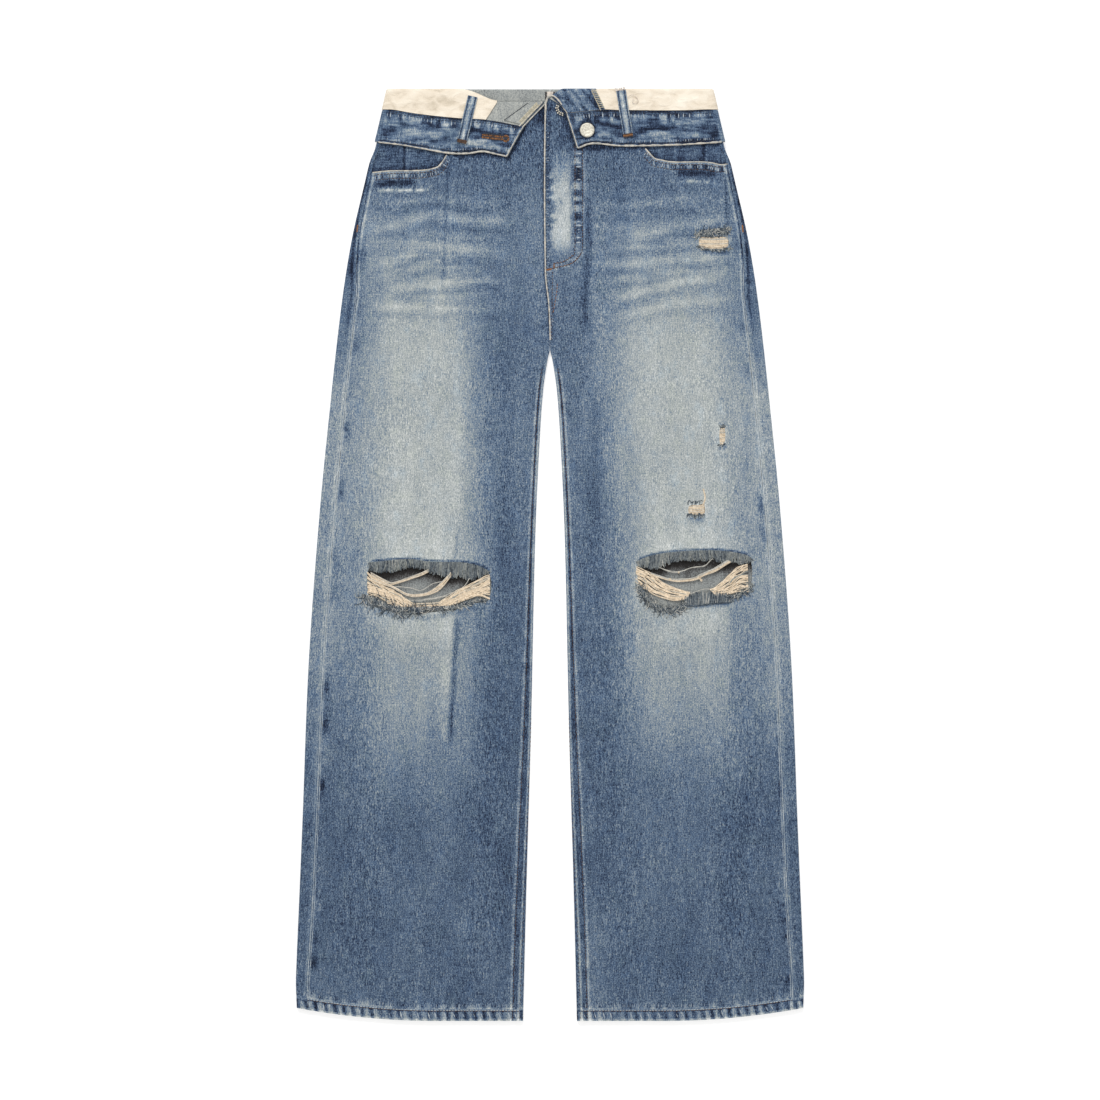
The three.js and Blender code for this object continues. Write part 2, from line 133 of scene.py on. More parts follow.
class Finish:
    """One material: its nodes are all added by node()."""

    def __init__(self, name):
        self.material = bpy.data.materials.new(name)
        self.material.use_nodes = True
        self.tree = self.material.node_tree
        self.shader = self.tree.nodes["Principled BSDF"]

    def node(self, kind, settings=None, inputs=None, output=0):
        made = self.tree.nodes.new(kind)
        for key, value in (settings or {}).items():
            if key == "stops":
                self.set_stops(made.color_ramp, value)
            else:
                setattr(made, key, value)
        for key, value in (inputs or {}).items():
            self.feed(made.inputs[key], value)
        return Field(self, made.outputs[output])

    def feed(self, socket, value):
        if isinstance(value, Field):
            self.tree.links.new(value.socket, socket)
        elif isinstance(value, tuple) and len(value) == 3 and socket.type == "RGBA":
            socket.default_value = (*value, 1)
        else:
            socket.default_value = value

    @staticmethod
    def set_stops(ramp, stops):
        while len(ramp.elements) < len(stops):
            ramp.elements.new(0.5)
        for element, (place, colour) in zip(ramp.elements, stops):
            element.position = place
            element.color = (*colour, 1)

    def place(self, scale=(1, 1, 1)):
        at = self.node("ShaderNodeTexCoord", output=3)
        return self.node("ShaderNodeVectorMath", {"operation": "MULTIPLY"}, {0: at, 1: scale})

    def noise(self, scale, detail=2.0, roughness=0.5, distortion=0.0):
        """Noise with its own number of knots a metre along each axis."""
        inputs = {
            "Vector": self.place(scale), "Scale": 1.0, "Detail": detail,
            "Roughness": roughness, "Distortion": distortion,
        }
        return self.node("ShaderNodeTexNoise", None, inputs)

    def twill(self, pitch):
        """The diagonal ribs of a twill, pitch metres apart."""
        inputs = {
            "Vector": self.place((1 / pitch, -0.62 / pitch, 1 / pitch)), "Scale": 1.0, "Distortion": 0.6,
        }
        return self.node("ShaderNodeTexWave", {"bands_direction": "DIAGONAL"}, inputs, output=1)

    def ramp(self, value, stops):
        return self.node("ShaderNodeValToRGB", {"stops": stops}, {"Fac": value})

    def tint(self, share, colour, by):
        """A colour multiplied by another, to the share given."""
        settings = {"data_type": "RGBA", "blend_type": "MULTIPLY"}
        return self.node("ShaderNodeMix", settings, {0: share, 6: colour, 7: by}, output=2)

    def wear(self):
        """The three parts of the mesh's wear: see wear_and_shade_of()."""
        whole = self.node("ShaderNodeAttribute", {"attribute_name": "wear"}, output=1)
        return [self.node("ShaderNodeSeparateXYZ", None, {0: whole}, part) for part in range(3)]

    def bump(self, height, distance, strength):
        return self.node(
            "ShaderNodeBump", None, {"Height": height, "Distance": distance, "Strength": strength})

    def surface(self, colour, roughness, normal=None, **constants):
        self.feed(self.shader.inputs["Base Color"], colour)
        self.feed(self.shader.inputs["Roughness"], roughness)
        if normal:
            self.feed(self.shader.inputs["Normal"], normal)
        for name, value in constants.items():
            self.feed(self.shader.inputs[name.replace("_", " ")], value)


def srgb(*levels):
    """A linear colour from 0 to 255 levels."""
    return tuple(((v / 255 + 0.055) / 1.055) ** 2.4 if v > 10 else v / 3294.6 for v in levels)


# How light a cloth is drawn runs from DARKEST to LIGHTEST, in 0 to 255 levels
DARKEST, LIGHTEST = 30, 230

# The dye's colours, from the darkest washed cloth to bare weft
INDIGO = [
    (30, (20, 27, 42)), (60, (45, 57, 80)), (82, (66, 84, 108)), (102, (85, 104, 128)),
    (122, (108, 125, 144)), (141, (134, 144, 152)), (160, (155, 162, 164)), (190, (187, 192, 193)),
    (230, (228, 230, 229)),
]


def denim_finish(name, grain=1.0, streaks=0.0):
    """Washed denim; the mesh's wear is how light it is, faded and rubbed and with painted shade and
    highlights, how tea-stained, and how slubby.
    """
    f = Finish(name)
    light, tea, slub_and_shade = f.wear()
    grains = f.noise((1350, 560, 900), detail=1, roughness=0.5) - 0.5
    slubs = f.noise((1050, 120, 400), detail=1, roughness=0.6) - 0.5
    cross = f.noise((90, 760, 200), detail=2) - 0.5
    cloud = f.noise((28, 17, 20), detail=3) - 0.5
    hue = f.noise((60, 38, 50), detail=4, roughness=0.75)
    ribs = f.twill(0.0011)
    texture = grains * (0.93 * grain) + slubs * (0.5 * grain) + cross * (0.16 * grain + streaks)
    level = light + texture * slub_and_shade + cloud * 0.09 + (ribs - 0.5) * 0.03
    stops = [((at - DARKEST) / (LIGHTEST - DARKEST), srgb(*colour)) for at, colour in INDIGO]
    plain = f.ramp(level.limit(), stops)
    bluer = f.tint(hue.between(0.5, 0.7) * 0.55, plain, (0.90, 1.0, 1.10))
    greener = f.tint(hue.between(0.5, 0.3) * 0.45, bluer, (1.0, 1.015, 0.93))
    stained = f.tint(tea.limit(), greener, (1.0, 0.98, 0.93))
    height = ribs * 0.35 + grains * 1.1 + slubs * 0.7
    f.surface(
        stained, roughness=0.88 + grains * 0.1, normal=f.bump(height, 0.0006, 0.45),
        Specular_IOR_Level=0.12)
    return f.material


def inside_finish(name):
    """The wrong side of the denim, where the undyed weft shows; less slub in the wear is deeper painted
    shade, as inside the legs behind the knee rips.
    """
    f = Finish(name)
    _, _, lit = f.wear()
    grains = f.noise((900, 620, 700), detail=2, roughness=0.6)
    slubs = f.noise((500, 70, 200), detail=3, roughness=0.6)
    cloud = f.noise((30, 22, 20), detail=3)
    ribs = f.twill(0.0012)
    level = grains * 0.75 + slubs * 0.3 + cloud * 0.3 + ribs * 0.06 - 0.22 + (lit - 1.0) * 0.62
    stops = [
        (0.0, srgb(40, 38, 37)), (0.2, srgb(86, 86, 86)), (0.42, srgb(134, 138, 138)),
        (0.6, srgb(166, 168, 163)), (0.9, srgb(206, 203, 192))]
    f.surface(
        f.ramp(level.limit(), stops), roughness=0.92, normal=f.bump(ribs * 0.4 + grains, 0.0005, 0.6),
        Specular_IOR_Level=0.12)
    return f.material


def rim_finish(name):
    """Worn, whitened cut edges and piped folds."""
    f = Finish(name)
    patches = f.noise((260, 260, 260), detail=3, roughness=0.7)
    fine = f.noise((1500, 1500, 1500), detail=2)
    stops = [
        (0.25, srgb(96, 104, 114)), (0.4, srgb(150, 150, 146)), (0.55, srgb(196, 190, 178)),
        (0.8, srgb(226, 218, 202)),
    ]
    f.surface(
        f.ramp(patches * 0.7 + fine * 0.3, stops), roughness=0.92, normal=f.bump(fine, 0.0006, 0.7),
        Specular_IOR_Level=0.12)
    return f.material


def cotton_finish(name):
    """Unbleached plain-woven pocketing."""
    f = Finish(name)
    weave = f.noise((1100, 1100, 600), detail=2)
    cloud = f.noise((30, 45, 30), detail=3)
    tint = cloud * 0.75 + weave * 0.25
    creases = f.noise((70, 130, 60), detail=3, distortion=0.6)
    # The creases also shade the colour: painted shade in their hollows and painted highlight on their ridges.
    shade = tint + (creases - 0.5) * 0.7
    stops = [(0.15, srgb(176, 164, 144)), (0.42, srgb(216, 204, 186)), (0.8, srgb(236, 228, 213))]
    f.surface(
        f.ramp(shade, stops), roughness=0.9, normal=f.bump(weave * 0.3 + creases * 2.2, 0.0015, 0.6),
        Specular_IOR_Level=0.12)
    return f.material


def thread_finish(name, dark, light):
    f = Finish(name)
    twist = f.noise((420, 420, 420), detail=3, roughness=0.65)
    stops = [(0.3, srgb(*dark)), (0.68, srgb(*light))]
    f.surface(f.ramp(twist, stops), roughness=0.8, Specular_IOR_Level=0.15)
    return f.material


# The two colours that each thread is mottled between. The rips' threads:
FRAYS = {
    "grey_fray": ((84, 92, 98), (140, 146, 148)),
    "beige_fray": ((122, 126, 124), (172, 174, 168)),
    "pale_fray": ((160, 158, 152), (212, 208, 198)),
    "blue_fray": ((38, 45, 54), (88, 99, 110)),
    "peach_weft": ((198, 180, 154), (244, 228, 205)),
    "cream_weft": ((190, 172, 148), (236, 222, 200)),
}
GREY, BEIGE, PALE, DARK, PEACH, CREAM = range(6)

# The sewing threads, and the worn ridges between puckers:
SEWING = {
    "orange_thread": ((104, 70, 48), (170, 122, 80)),
    "brown_thread": ((48, 42, 44), (104, 82, 68)),
    "whitish_thread": ((170, 158, 148), (226, 216, 204)),
    "dark_thread": ((34, 38, 48), (70, 74, 84)),
    "worn_ridge": ((122, 138, 156), (200, 206, 207)),
}
ORANGE, BROWN, WHITISH, BLACKISH, WORN = range(5)


def thread_finishes(colours):
    return [thread_finish(name, dark, light) for name, (dark, light) in colours.items()]


def metal_finish(name):
    """Worn antique silver."""
    f = Finish(name)
    mottle = f.noise((420, 420, 420), detail=4, roughness=0.7)
    fine = f.noise((1800, 1800, 1800), detail=2)
    stops = [(0.32, srgb(150, 145, 133)), (0.5, srgb(196, 191, 177)), (0.7, srgb(224, 220, 206))]
    f.surface(
        f.ramp(mottle, stops), roughness=0.4 + fine * 0.2, normal=f.bump(mottle + fine * 0.4, 0.0003, 0.35),
        Metallic=0.4)
    return f.material


# ---- helpers for curves and noise

def ease(low, high, at):
    t = np.clip((np.asarray(at, float) - low) / (high - low), 0, 1)
    return t * t * (3 - 2 * t)


def fall(low, high, at):
    return 1 - ease(low, high, at)


def lerp(a, b, t):
    return a + (b - a) * t


def through(knots):
    """A smooth curve through (place, value) knots in rising order of place."""
    xs, ys = np.array(knots, float).T
    every = np.arange(len(xs))
    before, after = np.maximum(every - 1, 0), np.minimum(every + 1, len(xs) - 1)
    slopes = (ys[after] - ys[before]) / (xs[after] - xs[before])

    def value(at):
        at = np.asarray(at, float)
        i = np.clip(np.searchsorted(xs, at) - 1, 0, len(xs) - 2)
        width = xs[i + 1] - xs[i]
        t = np.clip((at - xs[i]) / width, 0, 1)
        start = (1 + 2 * t) * (1 - t) ** 2 * ys[i] + t * (1 - t) ** 2 * width * slopes[i]
        return start + t * t * (3 - 2 * t) * ys[i + 1] - t * t * (1 - t) * width * slopes[i + 1]

    return value


def sampled(line, places, at):
    """Points of a line at other places than those it is given at."""
    return np.stack([np.interp(at, places, column) for column in line.T], -1)


def noise(x, y=0.0, seed=0):
    """A smooth random field from -1 to 1 with a knot at each whole number."""
    x, y = np.broadcast_arrays(np.asarray(x, float), np.asarray(y, float))
    column, row = np.floor(x).astype(np.int64), np.floor(y).astype(np.int64)
    across, up = x - column, y - row
    across, up = across * across * (3 - 2 * across), up * up * (3 - 2 * up)

    def knot(i, j):
        h = (i * 374761393 + j * 668265263 + seed * 974634777) & 0xFFFFFFFF
        h = ((h ^ (h >> 13)) * 1274126177) & 0xFFFFFFFF
        return ((h ^ (h >> 16)) & 0xFFFF) / 32767.5 - 1

    low = lerp(knot(column, row), knot(column + 1, row), across)
    high = lerp(knot(column, row + 1), knot(column + 1, row + 1), across)
    return lerp(low, high, up)


def line_distance(x, y, points):
    """Distance from (x, y) to a polyline, and how far along it from 0 to 1 the nearest place is."""
    best = np.full(np.shape(x), 1e9)
    along = np.zeros(np.shape(x))
    lengths = np.linalg.norm(np.diff(np.array(points, float), axis=0), axis=1)
    total, done = lengths.sum(), 0.0
    for (x0, y0), (x1, y1), length in zip(points, points[1:], lengths):
        t = np.clip(((x - x0) * (x1 - x0) + (y - y0) * (y1 - y0)) / length ** 2, 0, 1)
        gap = np.hypot(x - lerp(x0, x1, t), y - lerp(y0, y1, t))
        nearer = gap < best
        best = np.where(nearer, gap, best)
        along = np.where(nearer, (done + t * length) / total, along)
        done += length
    return best, along


def band(x, y, points, width, fade=0.25):
    """1 on a polyline, falling away over width, and fading out at its ends."""
    gap, along = line_distance(x, y, points)
    ends = ease(0, fade, along) * fall(1 - fade, 1, along) if fade else 1.0
    return np.exp(-(gap / width) ** 2) * ends


def within(x, y, outline_points):
    """Which places are inside a closed outline."""
    inside = np.zeros(np.shape(x), bool)
    for (x0, y0), (x1, y1) in zip(outline_points, outline_points[1:] + outline_points[:1]):
        crosses = (y0 > y) != (y1 > y)
        at = x0 + (y - y0) * (x1 - x0) / (y1 - y0 if y1 != y0 else 1e-9)
        inside ^= crosses & (x < at)
    return inside


# ---- the garment's own sizes

# x runs across the garment, y up it to the waist, z out of its front. DENIM, DOUBLE and LINING are
# thicknesses, GAP is the air between two pieces.
DENIM, DOUBLE, LINING, GAP = 1.2, 2.4, 1.0, 0.3
HEM_Y, HEM_TOP_Y, CROTCH_Y = -535.0, -522.5, 234.6
HEM_STITCH = 12.2  # from the hem's edge up to its stitches
FRONT_FOLD_Y, BACK_FOLD_Y = 532.0, 533.35
BAND_SEAM_Y, BAND_FREE_Y, BAND_MIDDLE_Y = 510.6, 470.6, 490.0
FOLD_R = 1.05
TURNED = 2 * FOLD_R  # from a panel's mid cloth to the cloth turned down over it
CROWN, POCKET_LIFT, WAIST_LIFT = 1.5, 1.5, 2.7
BUTTON_X, BUTTON_Y = 42.6, 487.0
SLIDER_X, SLIDER_Y = 15.0, 512.3

outline = through([
    (-535, 291), (-500, 292), (-293, 284), (-121, 277.2), (52, 264.5), (190, 250.7),
    (299, 238), (368, 226.6), (437, 210.5), (489, 197.8), (533, 187.5)])
inner_edge = through([
    (-535, 31), (-397, 27.6), (-190, 21.9), (17, 17.3), (121, 12.7), (190, 8), (226, 2.5), (234.6, 0.15)])
seam_inset = through([
    (-535, 12), (-370, 15), (293, 15), (337, 10), (365, 7.5), (420, 5.5), (470, 4.5)])
fly_edge = through([(234.6, 0), (285, -1.6), (325, -5.75), (515, -5.75), (527, -1)])


def hem_lift(x):
    return 15 * (np.maximum(np.abs(x) - 130, 0) / 161) ** 2


def hem_shift(x, y):
    """How far up a place is pushed by the hem's curve, y being its height on a straight hem."""
    return hem_lift(x) * fall(HEM_Y, -380, y)


def cloth_at(y):
    return lerp(DOUBLE, DENIM, ease(HEM_TOP_Y, HEM_TOP_Y + 2, y))


def radius_at(y):
    return (cloth_at(y) + 0.6) / 2 + 0.6 * ease(390, 430, y)


def back_level(y):
    """The height of the back's mid cloth, which lies on its pockets and its turned waist."""
    return cloth_at(y) / 2 + POCKET_LIFT * ease(165, 200, y) + WAIST_LIFT * ease(410, 452, y)


def level_at(y):
    """The height of the middle of the tube, half-way between front and back."""
    return back_level(y) + radius_at(y)


def front_level(y):
    return level_at(y) + radius_at(y)


def quarter_at(y):
    return np.pi * radius_at(y) / 2


def side_centre(y):
    """Where the bend at the garment's side has its centre, set in where the turned waist goes round it."""
    turned = (DOUBLE / 2 + TURNED - DENIM / 2) * ease(448, 468, y)
    return outline(y) - cloth_at(y) / 2 - radius_at(y) - turned


def seam_at(y):
    """How far round the tube the side seam is."""
    return (seam_inset(y) - radius_at(y) - DENIM / 2 + quarter_at(y)) * fall(478, 503, y)


def reach(y, x):
    """How far round the tube from its outermost point a place at x is."""
    return quarter_at(y) + side_centre(y) - x


def section(y, s, out=0.0):
    """Places on the right half of the flattened tube, s from the outermost point, above 0 in front."""
    r = radius_at(y)
    flat = np.abs(s) - quarter_at(y)
    angle = np.where(flat > 0, np.sign(s) * np.pi / 2, s / r)
    x = side_centre(y) - np.maximum(flat, 0) + (r + out) * np.cos(angle)
    return np.stack([x, y + 0 * s, level_at(y) + (r + out) * np.sin(angle)], -1)


class Side:
    """What differs between the two sides. x is always measured on the garment, left is below 0.

    seam_end and free_end are how far out the waistband ends at its seam and at its free edge, and bow
    how round the turned end is between them. worn_through holds the small holes, shadows_below the
    painted shadows under loose ends and in the gap under the right waistband's edge, with their width
    and depth. patch is which knots of the pocket's mouth the dark patch runs along, from and to, and
    how far under. lip is a knee rip's upper edge, and lip_low where the fringe on it ends."""

    def __init__(self, sign, **facts):
        self.sign = sign
        self.__dict__.update(facts)

    def fold_y(self, x):
        if self.sign < 0:
            return lerp(FRONT_FOLD_Y, 518.2, ease(-108, -56, x))
        return lerp(524.5, FRONT_FOLD_Y, ease(-2, 12, x))

    def edge_x(self, y):
        return GAP / 2 + self.sign * fly_edge(y)

    def inner_x(self, y):
        return np.where(y < CROTCH_Y, inner_edge(y), self.edge_x(y))

    def end_x(self, v):
        """How far out the waistband's end is, v across it."""
        return lerp(self.seam_end, self.free_end, v)

    def across_band(self, x, v):
        """The height up the garment of a place at x on the waistband, v across it."""
        return lerp(self.band_seam(x), self.band_free(x), v)


LEFT = Side(
    -1, name="left", seam_end=31, free_end=49.8, bow=1,
    band_seam=through([(-183, 510.6), (-152, 505.6), (-108, 501), (-70, 498.6), (-31, 491.4)]),
    band_free=through([
        (-200, 474), (-167, 470), (-116, 461), (-94, 460.6), (-78, 462.8), (-65, 460.6), (-50, 457.4)]),
    mouth=[
        (-215, 438), (-203.6, 438.7), (-183, 440.7), (-150.7, 441.1), (-132.3, 443.9),
        (-125.4, 448.5), (-118.5, 459), (-114, 500), (-215, 500)],
    knee=[
        (-208, -15), (-186, -9), (-159, -8), (-120, -11.5), (-98, -14), (-70, -22), (-71, -52),
        (-92, -55), (-106, -62), (-132, -65.5), (-161, -68), (-190, -63), (-207, -52)],
    worn_through=[], shadows_below=[
        ([(-214, -50), (-196, -64), (-170, -72), (-140, -72), (-110, -66), (-72, -57)], 3.2, 34)],
    bag_end=(61, 73.6), facing_inner=108, pocket_line=-167.3, patch=(0, 3, 13.5),
    lip=[
        (-208, -8), (-184, -5.5), (-160, -4), (-139, -7), (-121, -7.5), (-104, -7.5), (-86, -10.5),
        (-75, -15), (-70, -19)],
    lip_low=through([
        (-213, -18), (-190, -20), (-178, -16.5), (-161, -13.5), (-146, -16), (-137, -17), (-125, -22),
        (-119, -25), (-109, -24), (-102, -23), (-93, -26), (-80, -24), (-70, -20)]))

RIGHT = Side(
    1, name="right", seam_end=19.6, free_end=32, bow=1.5,
    band_seam=through([(19.6, 506.6), (62, 510.6), (78, 510), (147, 509.5), (183, 510.6)]),
    band_free=through([(32, 467), (48, 472), (79, 469.5), (104, 469.5), (147, 470.6), (200, 474)]),
    mouth=[
        (215, 448), (203.6, 448.5), (195.5, 447.7), (178.3, 450.8), (141.5, 450.8), (127.7, 453.1),
        (119.6, 455.4), (109.3, 466.3), (104, 500), (215, 500)],
    knee=[
        (100, -15), (115, -3.5), (142.6, 0), (179.4, 1), (212.8, -1), (231, -9), (229, -38),
        (211.6, -47), (172.5, -50.6), (158.7, -55), (145, -64.4), (120.8, -63), (107, -52)],
    worn_through=[
        [(172.5, 365), (188, 366.5), (203, 364.5), (204, 354), (188, 351.5), (173, 353)],
        [(195, 145), (200.5, 147), (201, 131), (195.5, 127)],
        [(160, 56.5), (172, 57.5), (176.5, 61), (177, 47.5), (160.5, 47)]],
    shadows_below=[
        ([(106, -46), (118, -60), (138, -68), (155, -62)], 3.4, 30),
        ([(155, -60), (182, -58), (209, -55)], 2.0, 60), ([(208, -50), (222, -49), (234, -38)], 4, 30),
        ([(112, 467), (126, 463)], 2.6, 80), ([(172, 370.5), (188, 371), (207, 371)], 3.2, 40),
        ([(172, 349), (190, 347), (208, 348.5)], 2.2, 46), ([(158, 42), (170, 41), (178, 43)], 3, 40),
        ([(193, 124), (198, 123), (202, 125)], 2, 34), ([(194, 149), (198, 150), (203, 149)], 2, 34)],
    bag_end=(53.5, 63.4), facing_inner=99, pocket_line=176.5, patch=(1, 4, 12),
    lip=[(99, -7), (113, -1), (132, 3), (155, 5), (184, 6), (207, 4.5), (224, 1), (231, -3)],
    lip_low=through([
        (100, -12), (109, -14), (129, -14), (138, -8.5), (155, -6.5), (184, -5.5), (196, -9), (213, -8),
        (231, -6)]))

SIDES = (LEFT, RIGHT)

# ---- how light the fronts are: worn, and painted with shade and highlights

# How light the cloth is at each height, in levels: down the middle of the fade, and beside it
PEAK = through([
    (-535, 93), (-460, 90), (-400, 93), (-340, 95), (-293, 99), (-247, 109), (-201, 127), (-155, 143),
    (-109, 151), (-30, 163), (29, 166), (75, 165), (121, 163), (167, 163), (213, 160), (259, 153),
    (305, 138), (351, 127), (397, 106), (443, 88)])
GROUND = through([
    (-535, 94), (-450, 92), (-400, 88), (-340, 84), (-293, 84), (-201, 84), (-109, 88), (29, 96),
    (75, 101), (121, 103), (167, 100), (213, 97), (259, 97), (305, 102), (351, 105), (397, 104), (443, 93)])

# Whiskers: where they run, how wide and how pale
WHISKERS = {
    -1: [
        ([(-200, 405), (-140, 408), (-77, 405), (-50, 403)], 5, 14),
        ([(-212, 375), (-170, 382), (-133, 390), (-80, 384), (-28, 380)], 6, 22),
        ([(-200, 352), (-150, 360), (-60, 352)], 4, 10),
        ([(-218, 333), (-178, 338), (-150, 352), (-100, 350), (-37, 343)], 6.5, 20),
        ([(-210, 318), (-170, 326), (-140, 336), (-120, 340)], 4, 14),
        ([(-196, 305), (-118, 312), (-60, 317), (-43, 318)], 5, 18),
        ([(-160, 296), (-120, 298), (-60, 299)], 4, 9),
        ([(-218, 284), (-150, 285), (-103, 284), (-50, 283)], 3.6, 16)],
    1: [
        ([(60, 398), (120, 404), (190, 410)], 5, 13),
        ([(87, 365), (130, 372), (165, 382), (203, 388)], 6, 22),
        ([(55, 352), (120, 357), (180, 362)], 4, 14),
        ([(43, 335), (90, 334), (150, 340), (210, 344)], 6, 20),
        ([(62, 316), (110, 321), (170, 330)], 4, 13),
        ([(63, 291), (110, 303), (151, 314), (218, 322)], 6, 20),
        ([(60, 270), (100, 280), (140, 288), (225, 296)], 4.5, 13)],
}

# Soft creases: where they run, how wide and how high, below 0 for a trough. Their height is also painted into
# the fronts' colour as shade and highlight.
CREASES = {
    -1: [
        ([(-117, 460), (-121, 400), (-124, 296)], 5, -0.9),
        ([(-112, 460), (-115, 400), (-117, 300)], 6, 0.5),
        ([(-104, 300), (-106, 120), (-107, 0)], 7, 0.9),
        ([(-107, -64), (-110, -120), (-115, -225)], 4, -0.8),
        ([(-117, -62), (-120, -140), (-125, -225)], 8, 0.7),
        ([(-60, 260), (-52, 60), (-55, -60)], 16, -0.7),
        ([(-215, 20), (-180, 12), (-110, 8), (-60, -8)], 14, 1.1),
        ([(-205, -88), (-140, -92), (-80, -78)], 14, 0.9)],
    1: [
        ([(42, 430), (43, 330), (40, 236)], 8, -1.2),
        ([(54, 430), (56, 330), (54, 240)], 9, 0.7),
        ([(202, 434), (202, 376)], 4, -0.7),
        ([(207, -52), (211, -150), (206, -215)], 6, -0.6),
        ([(196, -52), (200, -150), (196, -215)], 8, 0.5),
        ([(60, 230), (52, 60), (60, -80)], 16, -0.7),
        ([(100, 8), (150, 16), (215, 16), (240, 4)], 14, 1.1),
        ([(105, -88), (150, -90), (220, -70)], 14, 0.9)],
}

# Crisp folds, painted into the colour as thin lines of shade with a painted highlight beside them:
# where they run, how wide, how dark, and how far the paler, highlighted side is to the left
FOLDS = {
    -1: [
        ([(-116, 458), (-119, 400), (-124, 296)], 2.0, 20, 4.5),
        ([(-107, -60), (-108.5, -110), (-111, -150), (-116, -225)], 3.2, 46, 6.5),
        ([(-101, -62), (-101, -80), (-102, -100)], 6, 22, 14),
        ([(-107, 26), (-108, 8), (-109, -6)], 1.5, 26, 4.0),
        ([(-52, 238), (-50, 120), (-48, 20)], 9, 7, 12)],
    1: [
        ([(44, 420), (43, 340), (40, 250)], 3.4, 20, -8),
        ([(202, 436), (202, 410), (203, 374)], 1.3, 34, 2.6),
        ([(209, -56), (211, -110), (207, -190)], 2.4, 11, 5),
        ([(56, 200), (50, 60), (56, -60)], 9, 7, -12)],
}


# Painted shade along each fold and a painted highlight beside it; the folds are not in the relief.
def fold_light(side, x, y):
    level = np.zeros(np.shape(x))
    for points, width, dark, beside in FOLDS[side.sign]:
        level -= dark * band(x, y, points, width, 0.12)
        level += 0.28 * dark * band(x + beside, y, points, width * 1.6, 0.15)
    return level


def pucker(run, across, pitch, seed):
    """The light and dark waves that stitching leaves beside a seam."""
    short = noise(run / (pitch * 0.45), across / 20, seed + 1)
    return 0.65 * noise(run / pitch, across / 40, seed) + 0.35 * short


def hump(distance, width):
    return np.exp(-(distance / width) ** 2)


def seam_distances(side, x, y):
    """How far a place on a front is from its side seam and from its inner edge."""
    ax = side.sign * x
    return outline(y) - seam_inset(y) - ax, ax - side.inner_x(y)


def inseam_fold(y):
    return lerp(5.5, 1.6, ease(HEM_Y, -200, y))


def inseam_stitch(y):
    return lerp(12, 4.5, ease(HEM_Y, 100, y))


def thigh_fade(side, x, y):
    """The large fade down the front of each leg."""
    ax = side.sign * x
    if side.sign < 0:
        drop = lerp(0.5, 1.0, hump(y - 292, 62)) * fall(340, 385, y)
        across = ease(54, 124, ax) * (1 - drop * ease(178, 228, ax))
    else:
        low = fall(60, 200, y)
        drop = lerp(0.4, 1.0, hump(y - 300, 62)) * fall(355, 400, y)
        across = ease(30 + 15 * low, 106 + 20 * low, ax) * (1 - drop * ease(178, 228, ax))
    inner = 9 * hump(ax - 47, 16) * fall(-120, 0, y) if side.sign > 0 else 0
    return GROUND(y) + inner + (PEAK(y) - GROUND(y)) * across


def rope_wave(x, above, seed):
    """The slanting light and dark patches of a hem that has been pulled askew by its stitching."""
    wave = np.sin((x + 0.22 * above) / 10.5 * 2 * np.pi + 2.4 * noise(x / 30, 0, seed))
    return wave * (0.75 + 0.4 * noise(x / 17, 0, seed + 1)) + 0.3 * noise(x / 3.2, above / 20, seed + 2)


def front_light(side, x, y):
    """How light the front's face is at each place, in levels: its fading and rubbing, with painted light and
    shade where noted.
    """
    outer, inner = seam_distances(side, x, y)
    level = thigh_fade(side, x, y)
    waver = 1.8 * noise(x / 45, y / 40, 8)
    streaks = ease(268, 300, y) * fall(400, 425, y) * ease(30, 70, np.abs(x)) * fall(205, 225, np.abs(x))
    level += streaks * (9 * noise(x / 42, y / 3.4, 10) + 6 * noise(x / 24, y / 2.2, 12))
    for points, width, pale in WHISKERS[side.sign]:
        level += 1.22 * pale * band(x, y + waver, points, width, 0.2) * (1 + 0.4 * noise(x / 14, y / 20, 9))
        level -= 0.7 * pale * band(x, y + 10 + waver, points, width, 0.2)
    # Painted shade and highlight: each crease is lighter on its ridge and darker in its trough.
    for points, width, height in CREASES[side.sign]:
        level += 9 * height * band(x, y, points, width * 0.8, 0.2)
    level += 5.5 * noise(x / 26, y / 60, 5) + 4.5 * noise(x / 8, y / 34, 6) + 3 * noise(x / 4, y / 50, 7)
    level += side_seam_light(side, y, outer) + inseam_light(side, y, inner) + hem_light(x, y)
    level += mouth_light(side, x, y) + rip_light(side, x, y) + fold_light(side, x, y)
    # A painted shadow cast by the waistband onto the front, along its free edge and up its end.
    gap, _ = line_distance(x, y, band_rim(side))
    level -= 66 * hump(gap, 4.4) * ease(440, 452, y)
    level += fly_light(x, y) if side.sign > 0 else left_rise_light(x, y)
    return level


def band_rim(side):
    """The waistband's free edge from the side in, and up its end."""
    x = side.sign * np.array([215, 180, 140, 100, 75, side.free_end])
    end = side.sign * side.seam_end
    return [*zip(x, side.band_free(x)), (end, float(side.band_seam(np.array(end))))]


def side_seam_light(side, y, outer):
    """A pale ridge beside the side seam, and puckers further in."""
    run = pucker(y, outer, 24, 11 + side.sign)
    legs = fall(300, 420, y)
    hips = ease(200, 330, y)
    level = lerp(34, 44, hips) * hump(outer - lerp(1.2, 3.2, hips), 1.2)
    level -= lerp(10, 60, hips) * hump(outer, 1.0)
    spots = np.clip(1.6 * run - 0.25, 0, 1)
    level -= 64 * legs * spots * hump(outer - 6.5, 4.5)
    level -= 46 * hump(outer - 1, 7) * hump(y - 349 - 6 * side.sign, 15)
    return level + 20 * legs * np.clip(-run, 0, 1) * hump(outer - 8, 6)


